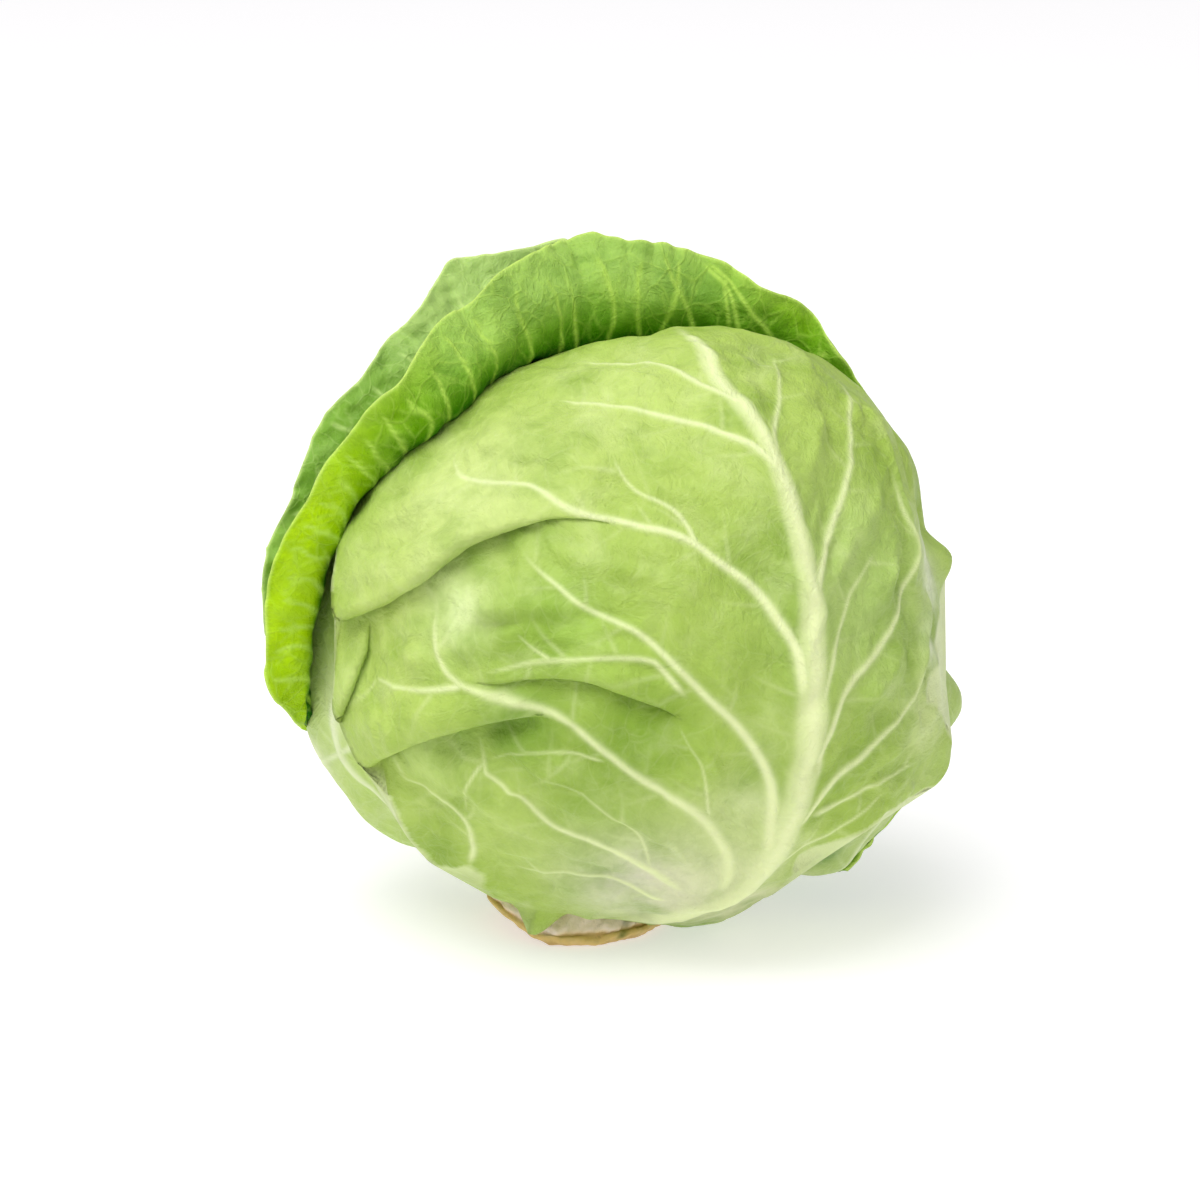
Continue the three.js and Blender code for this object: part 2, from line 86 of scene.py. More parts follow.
def cubic(before: Array, start: Array, end: Array, after: Array, share: Array) -> Array:
    """Cubic through four values, the middle two at share 0 and 1.

    Args:
        before: Values ahead of the first.
        start: Values at share 0.
        end: Values at share 1.
        after: Values past the second.
        share: How far between the middle two.

    Returns:
        The values there.
    """
    bend = 2 * before - 5 * start + 4 * end - after
    twist = 3 * (start - end) + after - before
    return start + 0.5 * share * (end - before + share * (bend + share * twist))


def along(values: Sequence, fraction: Array) -> Array:
    """Values of a list at fractions of its length, smooth through its entries.

    Args:
        values: The entries, each a number or a vector.
        fraction: Places from 0, the first entry, to 1, the last.

    Returns:
        One value or vector for each fraction.
    """
    table = np.asarray(values, float)
    last = len(table) - 1
    place = np.clip(np.asarray(fraction, float), 0, 1) * last
    index = np.minimum(np.floor(place).astype(int), last - 1)
    share = place - index
    if table.ndim > 1:
        share = share[..., None]
    pick = [table[np.clip(index + step, 0, last)] for step in (-1, 0, 1, 2)]
    return cubic(*pick, share)


def along_table(table: Array, value: Array) -> Array:
    """Second column of a table at values of its first, with rounded corners."""
    near = [np.interp(value + step, table[:, 0], table[:, 1]) for step in (-1, 0, 1)]
    return (near[0] + 2 * near[1] + near[2]) / 4


def evenly(points: Array, spacing: float) -> Array:
    """A line through the points, smooth and with even spacing.

    Args:
        points: The line's own points.
        spacing: Distance wanted between the new points.

    Returns:
        The new points, first and last kept.
    """
    fine = along(points, np.linspace(0, 1, 24 * len(points)))
    travel = np.concatenate([[0], np.cumsum(np.linalg.norm(np.diff(fine, axis=0), axis=1))])
    count = max(int(travel[-1] / spacing), 2)
    places = np.linspace(0, travel[-1], count + 1)
    return np.stack([np.interp(places, travel, fine[:, axis]) for axis in range(fine.shape[1])], 1)


class Ripple:
    """Smooth random unevenness of a surface, from waves that run in all directions."""

    def __init__(self, size: float, seed: int, waves: int = 14) -> None:
        """Sets the waves.

        Args:
            size: Typical length of a wave in millimetres.
            seed: Seed of the random directions.
            waves: How many waves are added up.
        """
        draw = np.random.default_rng(seed)
        heading = unit(draw.normal(size=(waves, 3)))
        self.pace = heading * (2 * math.pi / size) * draw.uniform(0.6, 1.6, (waves, 1))
        self.phase = draw.uniform(0, 2 * math.pi, waves)

    def __call__(self, points: Array) -> Array:
        """Unevenness at the points, about -1 to 1.

        Args:
            points: Points in millimetres.

        Returns:
            One value for each point.
        """
        total = np.zeros(points.shape[:-1])
        for pace, phase in zip(self.pace, self.phase):
            total += np.sin(points @ pace + phase)
        return total / math.sqrt(len(self.phase))


# ---- the head's form


@dataclass(frozen=True)
class HeadForm:
    """The rounded form that every leaf lies on, the same as in the part's source."""

    centre: tuple[float, float, float] = (16, 6, 79.5)
    near_radius: float = 80
    far_radius: float = 76
    view_tilt: float = 15
    view_distance: float = 1200
    view_aim: Drawn = (-9.5, 7.5)
    hollow_at: tuple[float, float, float] = (-9, -4, 0)
    hollow_depth: float = 9.5
    hollow_spread: float = 15
    foot_at: tuple[float, float, float] = (33, 4, 0)
    foot_rise: float = 4.5
    foot_spread: float = 10
    ball: float = 82
    outline: tuple[Drawn, ...] = (
        (0, 83.5), (24, 83), (47, 86), (64, 84), (81, 78.5), (95, 75.3), (109, 73.7), (123, 75.8),
        (140, 80), (160, 83.5), (180, 85.5), (202, 88), (217, 86.5), (233, 82), (252, 79), (270, 77.5),
        (284, 78.3), (297, 78), (312, 83), (328, 88), (345, 88),
    )

    @property
    def middle(self) -> Array:
        """The head's centre."""
        return np.array(self.centre, float)

    @property
    def across(self) -> Array:
        """Direction to the right of the front view."""
        return np.array([1.0, 0, 0])

    @property
    def rise(self) -> Array:
        """Upward direction of the front view."""
        tilt = math.radians(self.view_tilt)
        return np.array([0, math.sin(tilt), math.cos(tilt)])

    @property
    def near(self) -> Array:
        """Direction towards whoever looks at the front."""
        tilt = math.radians(self.view_tilt)
        return np.array([0, -math.cos(tilt), math.sin(tilt)])

    def towards(self, point: Sequence[float]) -> Array:
        """Direction from the head's centre to a point."""
        return unit(np.array(point, float) - self.middle)

    def outline_radius(self, clock: Array) -> Array:
        """Outline radius of the front view at clock angles, smooth all the way round.

        Args:
            clock: Angles in degrees, 0 to the right and 90 at the top.

        Returns:
            One radius for each angle.
        """
        table = np.array(self.outline, float)
        count = len(table)
        turn = np.mod(clock, 360)
        index = np.searchsorted(table[:, 0], turn, side="right") - 1
        start = table[index, 0]
        end = np.where(index == count - 1, 360, table[(index + 1) % count, 0])
        radii = [table[(index + step) % count, 1] for step in (-1, 0, 1, 2)]
        return cubic(*radii, (turn - start) / (end - start))

    def hump(self, directions: Array, axis: Array, spread: float) -> Array:
        """A smooth hump, 1 on the axis and falling off over the spread in degrees."""
        angle = np.degrees(np.arccos(np.clip(directions @ axis, -1, 1))) / spread
        return np.exp(-angle * angle)

    def radius(self, directions: Array) -> Array:
        """Distance from the head's centre to its surface along unit directions.

        Args:
            directions: Unit directions.

        Returns:
            One radius for each direction.
        """
        near = directions @ self.near
        clock = np.degrees(np.arctan2(directions @ self.rise, directions @ self.across))
        axial = np.where(near > 0, self.near_radius, self.far_radius)
        round_part = axial + (self.outline_radius(clock) - axial) * (1 - near * near)
        hollow = self.hollow_depth * self.hump(directions, self.towards(self.hollow_at), self.hollow_spread)
        foot = self.foot_rise * self.hump(directions, self.towards(self.foot_at), self.foot_spread)
        return round_part - hollow + foot

    def place(self, directions: Array, radius: Array, lowest: float) -> Array:
        """Points on rays from the head's centre, held at or above a height over the table.

        Args:
            directions: Unit directions of the rays.
            radius: Distance along each ray.
            lowest: The height that no point goes below.

        Returns:
            The points.
        """
        down = np.minimum(directions[..., 2], -1e-9)
        reach = np.where(directions[..., 2] < 0, (self.centre[2] - lowest) / -down, np.inf)
        return self.middle + directions * np.minimum(radius, reach)[..., None]

    def drawn(self, places: Sequence[Drawn]) -> Array:
        """Directions of the surface points that the front view shows at places.

        Args:
            places: Places as (across, up) from the head's centre.

        Returns:
            One unit direction for each place.
        """
        flat = np.array(places, float).reshape(-1, 2)
        aim = np.array(self.view_aim)
        depth = np.full(len(flat), self.near_radius / 2)
        directions = np.zeros((len(flat), 3))
        for _ in range(12):
            shrink = 1 - depth / self.view_distance
            real = aim + (flat - aim) * shrink[:, None]
            directions = unit(
                real[:, :1] * self.across + real[:, 1:] * self.rise + depth[:, None] * self.near
            )
            radius = self.radius(directions)
            wanted = np.sqrt(np.maximum(radius**2 - (real**2).sum(1), 0))
            depth = 0.3 * depth + 0.7 * wanted
        return directions

    def seen(self, points: Array) -> tuple[Array, Array]:
        """Clock angles and radii at which the front view shows points.

        Args:
            points: Points in millimetres.

        Returns:
            The angles in degrees and the radii.
        """
        away = points - self.middle
        shrink = 1 - away @ self.near / self.view_distance
        aim = np.array(self.view_aim)
        flat = aim + (np.stack([away @ self.across, away @ self.rise], -1) - aim) / shrink[..., None]
        clock = np.degrees(np.arctan2(flat[..., 1], flat[..., 0])) % 360
        return clock, np.hypot(flat[..., 0], flat[..., 1])

    def round(self, clock: Array, tilt: Array) -> Array:
        """Directions at clock angles and tilts away from the front, both in degrees.

        Args:
            clock: Clock angles.
            tilt: Tilts.

        Returns:
            The directions.
        """
        clock = np.radians(np.asarray(clock, float))[..., None]
        tilt = np.radians(np.asarray(tilt, float))[..., None]
        side = np.cos(clock) * self.across + np.sin(clock) * self.rise
        return np.sin(tilt) * side + np.cos(tilt) * self.near

    def foot(self, bearing: Array, angle: float) -> Array:
        """Directions on the arc round the stem, from world bearings in degrees.

        Args:
            bearing: The bearings.
            angle: The arc's angle from the stem, in degrees.

        Returns:
            The directions.
        """
        axis = self.towards((0, 0, 0))
        turn = np.radians(np.asarray(bearing, float))[..., None]
        outward = np.cos(turn) * np.array([1.0, 0, 0]) + np.sin(turn) * np.array([0, 1.0, 0])
        outward = unit(outward - (outward @ axis)[..., None] * axis)
        return math.cos(math.radians(angle)) * axis + math.sin(math.radians(angle)) * outward

    def clear_of_stem(self, directions: Array, angle: float) -> Array:
        """The directions, turned outward where they come closer to the stem than an angle.

        Args:
            directions: Unit directions.
            angle: The least angle, in degrees.

        Returns:
            The directions to use.
        """
        axis = self.towards((0, 0, 0))
        cosine = directions @ axis
        outward = directions - cosine[..., None] * axis
        outward = outward / np.maximum(np.linalg.norm(outward, axis=-1, keepdims=True), 1e-9)
        edge = math.cos(math.radians(angle)) * axis + math.sin(math.radians(angle)) * outward
        return np.where((cosine > math.cos(math.radians(angle)))[..., None], edge, directions)


HEAD = HeadForm()


def slimmer(directions: Array) -> Array:
    """Where the leaves lie closer than the head's form, at its right side."""
    return smooth(directions @ HEAD.across, 0.86, 0.97)


def fan_directions(
    bearings: Drawn, foot_angle: float, belly: Array, pull: float, rim: Array, run: Array, turn: Array
) -> Array:
    """Directions inside a leaf that fans out from the stem.

    Args:
        bearings: World bearings of the first and last points of the arc round the stem.
        foot_angle: Angle of that arc from the stem's middle.
        belly: Direction that the leaf's middle is pulled towards.
        pull: How strongly it is pulled.
        rim: Directions of the rim.
        run: How far from the foot to the rim.
        turn: How far along the rim.

    Returns:
        One unit direction for each pair.
    """
    start, end = bearings
    foot = HEAD.foot(start + (end - start) * turn, foot_angle)
    far = unit(along(rim, turn))
    share = pull * (1 - (foot * far).sum(-1)) / 2
    middle = unit((foot + far) / 2 + share[..., None] * belly)
    run = run[..., None]
    made = unit((1 - run) ** 2 * foot + 2 * run * (1 - run) * middle + run**2 * far)
    return HEAD.clear_of_stem(made, foot_angle)


# ---- lines on a leaf


@dataclass
class Nearness:
    """How points lie beside a line: which points are near it, how far off, and on which side."""

    index: Array
    distance: Array
    fraction: Array
    side: Array
    across: Array


def beside(line: Array, points: Array, reach: float) -> Nearness:
    """Measures how points lie beside a line.

    Args:
        line: Points of the line, relative to the head's centre.
        points: The points to measure, relative to the head's centre.
        reach: Points further off than this are left out.

    Returns:
        The nearness of the points within reach. The side is 1 on the left of the line's travel.
    """
    middle = line.mean(0)
    span = np.linalg.norm(line - middle, axis=1).max() + reach
    index = np.flatnonzero(((points - middle) ** 2).sum(1) < span * span)
    near = points[index]
    lengths = np.linalg.norm(np.diff(line, axis=0), axis=1)
    travel = np.concatenate([[0], np.cumsum(lengths)])
    best = np.full(len(index), np.inf)
    fraction = np.zeros(len(index))
    heading = np.zeros((len(index), 3))
    start_gap = np.zeros((len(index), 3))
    for place, (start, end) in enumerate(zip(line[:-1], line[1:])):
        step = end - start
        gap = near - start
        share = np.clip(gap @ step / (step @ step), 0, 1)
        squared = ((gap - share[:, None] * step) ** 2).sum(1)
        closer = squared < best
        best[closer] = squared[closer]
        fraction[closer] = (travel[place] + share[closer] * lengths[place]) / travel[-1]
        heading[closer] = step / lengths[place]
        start_gap[closer] = gap[closer]
    outward = unit(near)
    across = np.cross(outward, heading)
    side = np.where((start_gap * across).sum(1) >= 0, 1.0, -1.0)
    within = best < reach * reach
    return Nearness(
        index[within], np.sqrt(best[within]), fraction[within], side[within], across[within]
    )


@dataclass(frozen=True)
class Vein:
    """A vein along a line of directions: a ridge with soft flanks that tapers, and a lighter tone."""

    course: Array
    width: Drawn = (1.2, 0.5)
    height: Drawn = (0.6, 0.15)
    tone: Drawn = (1.0, 0.6)
    broad: bool = False

    def line(self) -> Array:
        """The vein's line on the head's ball."""
        return unit(evenly(self.course * HEAD.ball, 2.2)) * HEAD.ball

    def ridge(self, near: Nearness) -> tuple[Array, Array]:
        """Height and tone of the ridge at the near points.

        Args:
            near: The points close to the line.

        Returns:
            The heights and tones.
        """
        width = np.interp(near.fraction, (0, 1), self.width)
        fade = smooth(1 - near.fraction, 0, 0.15) * (1 if self.broad else smooth(near.fraction, -0.03, 0.1))
        beyond = near.distance / width
        core, flank = np.exp(-(beyond**2)), np.exp(-((beyond / 2.3) ** 2))
        shape, light = 0.55 * core + 0.45 * flank, 0.7 * core + 0.3 * flank
        if self.broad:
            shape = np.exp(-np.abs(beyond) ** 2.6)
            light = shape * (0.92 + 0.08 * np.cos(2 * math.pi * beyond * near.side / 0.9))
        height = np.interp(near.fraction, (0, 1), self.height) * fade * shape
        return height, np.interp(near.fraction, (0, 1), self.tone) * fade * light


def vein(places: Sequence[Drawn], **size: object) -> Vein:
    """A vein through places of the front view."""
    return Vein(HEAD.drawn(places), **size)


def twigs(
    parents: Sequence[Vein], spacing: float, length: Drawn, width: float, tone: float, seed: int
) -> list[Vein]:
    """Small veins that leave larger ones on both sides.

    Args:
        parents: The veins that they leave.
        spacing: Usual distance between them.
        length: Their shortest and longest length.
        width: Their width where they start.
        tone: How light they are.
        seed: Seed of the random draws.

    Returns:
        The small veins.
    """
    draw = np.random.default_rng(seed)
    made = []
    for parent in parents:
        line = parent.line()
        travel = np.concatenate([[0], np.cumsum(np.linalg.norm(np.diff(line, axis=0), axis=1))])
        place, side = spacing * draw.uniform(0.4, 1), 1
        while place < travel[-1] - 0.25 * spacing:
            index = min(int(np.searchsorted(travel, place)), len(line) - 1)
            point, heading = line[index], unit(line[index] - line[index - 1])
            across = side * np.cross(unit(point), heading)
            angle = math.radians(draw.uniform(40, 68))
            aim = math.cos(angle) * heading + math.sin(angle) * across
            step = draw.uniform(*length) / 5
            turn = draw.uniform(-0.04, 0.14)
            course = [point]
            for _ in range(5):
                point = unit(point + aim * step) * HEAD.ball
                aim = unit(aim + turn * heading + 0.07 * draw.normal(size=3))
                course.append(point)
            light = tone * draw.uniform(0.7, 1.2)
            size = {
                "width": (width, 0.7 * width), "height": (0.28 * width, 0.04), "tone": (light, 0.4 * light)
            }
            made.append(Vein(unit(np.array(course)), **size))
            place += spacing * draw.uniform(0.6, 1.4)
            side = -side
    return made


@dataclass(frozen=True)
class Fold:
    """A place where the blade on the left of a line laps over the blade on its right."""

    places: tuple[Drawn, ...]
    strength: tuple[Drawn, ...] = ((0, 1), (1, 0))
    lap: float = 4.5
    rise: float = 2.4
    dip: float = 0.8
    carry: float = 15
    zone: float = 7

    def line(self) -> Array:
        """The fold's line on the head's ball."""
        return unit(evenly(HEAD.drawn(self.places) * HEAD.ball, 2.0)) * HEAD.ball

    def bend(self, near: Nearness) -> tuple[Array, Array]:
        """How far the near points move towards the line's left, and how high they rise.

        The blade runs out to a rounded lip over the line, turns back underneath as far as a
        crease, and runs out again below.

        Args:
            near: The points close to the line.

        Returns:
            The two, in millimetres.
        """
        knots = np.array(self.strength)
        amount = np.interp(near.fraction, knots[:, 0], knots[:, 1])
        offset = -near.side * near.distance
        lap = self.lap * amount
        lip = 0.44 * (self.rise + self.dip) * amount
        zone = self.zone
        total = 2 * zone + 2 * lap + (math.pi - 2) * lip
        arc = np.clip((offset + zone) / (2 * zone), 0, 1) * total
        top_end = zone - lip
        turn_end = top_end + math.pi * lip
        back_end = turn_end + lap - lip
        round_lip = np.clip((arc - top_end) / np.maximum(lip, 1e-6), 0, math.pi)
        back = np.clip(arc - turn_end, 0, np.maximum(lap - lip, 0))
        out = arc - back_end - lap
        upper = arc < turn_end
        reach = np.where(arc < top_end, arc - zone, -lip + lip * np.sin(round_lip) - back)
        reach = np.where(arc > back_end, out, reach)
        inside = np.abs(offset) < zone
        reach = np.where(inside, reach, offset)
        high = self.rise * amount * np.exp(-((np.minimum(reach, 0) / self.carry) ** 2))
        low = -self.dip * amount * np.exp(-((reach / (0.7 * self.carry)) ** 2))
        lip_high = self.rise * amount - lip * (1 - np.cos(round_lip))
        share = back / np.maximum(lap - lip, 1e-6)
        under = lip_high + (low - lip_high) * np.clip(share, 0, 1)
        height = np.where(arc < top_end, high, np.where(upper, lip_high, under))
        height = np.where(arc > back_end, low, height)
        height = np.where(inside, height, np.where(offset < 0, high, low))
        return offset - reach, height


@dataclass(frozen=True)
class Crease:
    """A soft ridge along a line of directions, or a soft valley where its height is below 0."""

    course: Array
    width: float = 3.0
    height: float = 0.8
    fade: Drawn = (0.25, 0.25)

    def line(self) -> Array:
        """The crease's line on the head's ball."""
        return unit(evenly(self.course * HEAD.ball, 2.5)) * HEAD.ball

    def bend(self, near: Nearness) -> Array:
        """How far the near points rise.

        Args:
            near: The points close to the line.

        Returns:
            The rise of each, in millimetres.
        """
        start, end = self.fade
        fade = smooth(near.fraction, 0, start) * smooth(1 - near.fraction, 0, end)
        return self.height * fade * np.exp(-((near.distance / self.width) ** 2))


def crease(places: Sequence[Drawn], *size: object) -> Crease:
    """A crease through places of the front view."""
    return Crease(HEAD.drawn(places), *size)


def wrinkles(parents: Sequence[Vein], spacing: float, height: float, seed: int) -> list[Crease]:
    """Small wrinkles that run beside the veins.

    Args:
        parents: The veins that they follow.
        spacing: Usual distance between them.
        height: How high the highest stand.
        seed: Seed of the random draws.

    Returns:
        The wrinkles, ridges and valleys in turn.
    """
    draw = np.random.default_rng(seed)
    made = []
    for parent in parents:
        line = parent.line()
        count = len(line)
        for turn in range(int(2.2 * count / spacing)):
            start = int(draw.uniform(0.05, 0.85) * count)
            reach = int(draw.uniform(6, 14))
            part = line[start : start + reach + 1]
            if len(part) < 4:
                continue
            heading = unit(np.gradient(part, axis=0))
            across = np.cross(unit(part), heading) * (1 if turn % 2 else -1)
            offset = draw.uniform(3, 12) + np.linspace(0, draw.uniform(-3, 3), len(part))
            course = unit(part + across * offset[:, None])
            size = height * draw.uniform(0.4, 1) * draw.choice((-1, 1))
            made.append(Crease(course, draw.uniform(1.5, 2.8), size, (0.5, 0.5)))
    return made


@dataclass(frozen=True)
class Swell:
    """A rounded rise or dent of a leaf, as drawn on the front view."""

    place: Drawn
    spread: float
    height: float


def tint(red: float, green: float, blue: float) -> Array:
    """A colour of a leaf, from the values of a paint chart that run to 255."""
    chart = np.array([red, green, blue]) / 255
    return np.where(chart <= 0.04045, chart / 12.92, ((chart + 0.055) / 1.055) ** 2.4)


@dataclass(frozen=True)
class Zone:
    """A part of a leaf with a tint laid over its base, fading out round a place of the front view; some
    zones give the leaf's own tint, others are painted shade or a painted sheen.
    """

    place: Drawn
    spread: float
    colour: tuple[float, float, float]
    strength: float = 1.0


def zoned(base: Array, zones: Sequence[Zone], directions: Array) -> Array:
    """Tints of a leaf's points, from a base tint and its zones.

    Args:
        base: The tint away from every zone.
        zones: The zones, later ones laid over earlier ones.
        directions: Unit directions of the points.

    Returns:
        One tint for each point.
    """
    colours = np.tile(base, (len(directions), 1))
    for zone in zones:
        middle = HEAD.drawn([zone.place])[0]
        away = ((directions - middle) ** 2).sum(1) * (HEAD.ball / zone.spread) ** 2
        share = (zone.strength * np.exp(-away))[:, None]
        colours += (tint(*zone.colour) - colours) * share
    return colours


# ---- meshes


def make_object(name: str, vertices: Array, faces: Array, tones: dict[str, Array]) -> bpy.types.Object:
    """Makes a smooth mesh object from vertices in millimetres.

    Args:
        name: The object's name.
        vertices: Points in millimetres.
        faces: Triangles, as three vertex numbers each.
        tones: Values or tints for each vertex that the finish reads, by name.

    Returns:
        The object, linked to the scene.
    """
    mesh = bpy.data.meshes.new(name)
    mesh.vertices.add(len(vertices))
    mesh.vertices.foreach_set("co", (vertices * MM).astype(np.float32).ravel())
    mesh.loops.add(faces.size)
    mesh.loops.foreach_set("vertex_index", faces.astype(np.int32).ravel())
    mesh.polygons.add(len(faces))
    mesh.polygons.foreach_set("loop_start", np.arange(0, faces.size, 3, dtype=np.int32))
    mesh.polygons.foreach_set("use_smooth", np.ones(len(faces), bool))
    mesh.update(calc_edges=True)
    mesh.validate()
    for label, values in tones.items():
        if values.ndim == 2:
            made = mesh.attributes.new(label, "FLOAT_COLOR", "POINT")
            filled = np.concatenate([values, np.ones((len(values), 1))], 1)
            made.data.foreach_set("color", filled.astype(np.float32).ravel())
        else:
            made = mesh.attributes.new(label, "FLOAT", "POINT")
            made.data.foreach_set("value", values.astype(np.float32))
    made_object = bpy.data.objects.new(name, mesh)
    bpy.context.scene.collection.objects.link(made_object)
    return made_object


def vertex_normals(vertices: Array, faces: Array) -> Array:
    """Unit normals of vertices, from the faces round each.

    Args:
        vertices: Places of the vertices.
        faces: Their faces.

    Returns:
        One normal for each vertex.
    """
    a, b, c = (vertices[faces[:, corner]] for corner in range(3))
    flat = np.cross(b - a, c - a)
    total = np.zeros_like(vertices)
    for corner in range(3):
        np.add.at(total, faces[:, corner], flat)
    return total / np.maximum(np.linalg.norm(total, axis=1, keepdims=True), 1e-12)


def zipper(first: Array, first_at: Array, second: Array, second_at: Array) -> list[tuple[int, int, int]]:
    """Triangles that join two rows of vertices that run side by side.

    Args:
        first: Vertex numbers of one row.
        first_at: How far along each of them is.
        second: Vertex numbers of the other row.
        second_at: How far along each of them is.

    Returns:
        The triangles, facing left of the first row's travel seen from the second.
    """
    faces = []
    i = j = 0
    while i < len(first) - 1 or j < len(second) - 1:
        if j == len(second) - 1 or (i < len(first) - 1 and first_at[i + 1] <= second_at[j + 1]):
            faces.append((first[i], first[i + 1], second[j]))
            i += 1
        else:
            faces.append((first[i], second[j + 1], second[j]))
            j += 1
    return faces


# ---- leaves that lie on the head


class Density(Enum):
    """How closely a leaf's net of points is set, as a power of two of the finest step."""

    FINE = 0
    MEDIUM = 1
    COARSE = 2
    SPARSE = 3


@dataclass
class LayingLeaf:
    """A leaf that lies on the head, with its veins, folds and a thin edge."""

    name: str
    slot: str
    edge_line: Array
    axis: Array
    colour: tuple[float, float, float]
    zones: Sequence[Zone] = ()
    veins: Sequence[Vein] = ()
    folds: Sequence[Fold] = ()
    swells: Sequence[Swell] = ()
    creases: Sequence[Crease] = ()
    puff: float = 0.0
    lift: Optional[Callable[[Array], Array]] = None
    lowest: float = 0.0
    thickness: float = 0.9
    step: float = 0.6
    wave: float = 0.6
    edge_width: float = 0.65
    wobble: float = 0.25
    seed: int = 1

    def frame(self) -> Array:
        """Two directions across the leaf's axis, and the axis."""
        side = unit(np.cross([0.0, 0, 1], self.axis))
        return np.stack([side, np.cross(self.axis, side), self.axis])

    def flatten(self, directions: Array) -> Array:
        """Flat places of directions, on a map that keeps areas.

        Args:
            directions: Unit directions.

        Returns:
            The flat places.
        """
        parts = directions @ self.frame().T
        scale = HEAD.ball * np.sqrt(2 / np.maximum(1 + parts[..., 2], 1e-6))
        return parts[..., :2] * scale[..., None]

    def unflatten(self, places: Array) -> Array:
        """Directions of flat places on the map.

        Args:
            places: Flat places.

        Returns:
            The directions.
        """
        squared = (places**2).sum(-1) / HEAD.ball**2
        side = places / HEAD.ball * np.sqrt(np.maximum(1 - squared / 4, 0))[..., None]
        parts = np.concatenate([side, (1 - squared / 2)[..., None]], -1)
        return unit(parts @ self.frame())

    def outline(self) -> Array:
        """Flat places along the leaf's edge, evenly spaced and anticlockwise, a little uneven.

        Returns:
            The flat places.
        """
        flat = self.flatten(self.edge_line)
        after = np.roll(flat, -1, axis=0)
        if (flat[:, 0] * after[:, 1] - flat[:, 1] * after[:, 0]).sum() < 0:
            flat = flat[::-1]
        places = evenly(np.concatenate([flat, flat[:1]]), self.edge_width)[:-1]
        ahead = np.roll(places, -1, axis=0) - np.roll(places, 1, axis=0)
        sideways = unit(np.stack([ahead[:, 1], -ahead[:, 0]], 1))
        ball = self.unflatten(places) * HEAD.ball
        bumps = self.wobble * Ripple(6, self.seed + 5)(ball) * (self.unflatten(places) @ HEAD.near > -0.2)
        return places + sideways * bumps[:, None]

    def net(self, edge: Array, lines: list[tuple[Array, float]]) -> tuple[Array, Array]:
        """Points inside the leaf, close together where it has veins and folds.

        Args:
            edge: Flat places along the leaf's edge.
            lines: Lines on the ball, with how far to each side they need fine points.

        Returns:
            Flat places, and for each the coarsest density that still holds it.
        """
        low, high = edge.min(0) - 3, edge.max(0) + 3
        count = ((high - low) / self.step).astype(int) + 1
        columns, rows = np.meshgrid(np.arange(count[0]), np.arange(count[1]), indexing="ij")
        places = low + np.stack([columns, rows], -1) * self.step
        directions = self.unflatten(places)
        wanted = np.where(directions @ HEAD.near > -0.15, Density.MEDIUM.value, Density.COARSE.value)

        def mark(line: Array, width: float, value: int) -> None:
            """Sets the density in a square window round each point of a flat line.

            Args:
                line: Flat places of the line.
                width: Half the width of the window.
                value: The density to set.
            """
            for x, y in ((line - low) / self.step):
                reach = width / self.step
                window = (
                    slice(max(int(x - reach), 0), int(x + reach) + 2),
                    slice(max(int(y - reach), 0), int(y + reach) + 2),
                )
                wanted[window] = np.where(wanted[window] < 0, wanted[window], value)

        for line, width in lines:
            mark(self.flatten(unit(line)), width, Density.FINE.value)
        front = self.unflatten(edge) @ HEAD.near > -0.1
        mark(edge[front][::2], 2.2, Density.FINE.value)
        mark(edge, 0.45, -1)
        own = np.zeros(columns.shape, int)
        for level in (Density.MEDIUM, Density.COARSE, Density.SPARSE):
            size = 2**level.value
            own[(columns % size == 0) & (rows % size == 0)] = level.value
        keep = (wanted >= 0) & (own >= wanted) & self.within(places, edge)
        return places[keep], own[keep]

    @staticmethod
    def within(places: Array, edge: Array) -> Array:
        """Which flat places lie inside the edge.

        Args:
            places: Flat places.
            edge: Flat places round the edge.

        Returns:
            True for each place inside.
        """
        corners = edge[:: max(len(edge) // 260, 1)]
        inside = np.zeros(places.shape[:-1], bool)
        x, y = places[..., 0], places[..., 1]
        for (x0, y0), (x1, y1) in zip(corners, np.roll(corners, -1, axis=0)):
            if y0 != y1:
                inside ^= ((y0 > y) != (y1 > y)) & (x < (x1 - x0) * (y - y0) / (y1 - y0) + x0)
        return inside

    @staticmethod
    def triangles(places: Array, edge_count: int) -> Array:
        """Triangles over flat places, the first of which go round the edge.

        Args:
            places: Flat places.
            edge_count: How many of them lie on the edge.

        Returns:
            The triangles.
        """
        ring = [(i, (i + 1) % edge_count) for i in range(edge_count)]
        made = delaunay_2d_cdt([tuple(p) for p in places], ring, [], 1, 1e-7, True)
        source = np.array([origin[0] for origin in made[3]])
        faces = source[np.array([face for face in made[2] if len(face) == 3])]
        a, b, c = (places[faces[:, corner]] for corner in range(3))
        area = (b[:, 0] - a[:, 0]) * (c[:, 1] - a[:, 1]) - (b[:, 1] - a[:, 1]) * (c[:, 0] - a[:, 0])
        return np.where((area < 0)[:, None], faces[:, ::-1], faces)

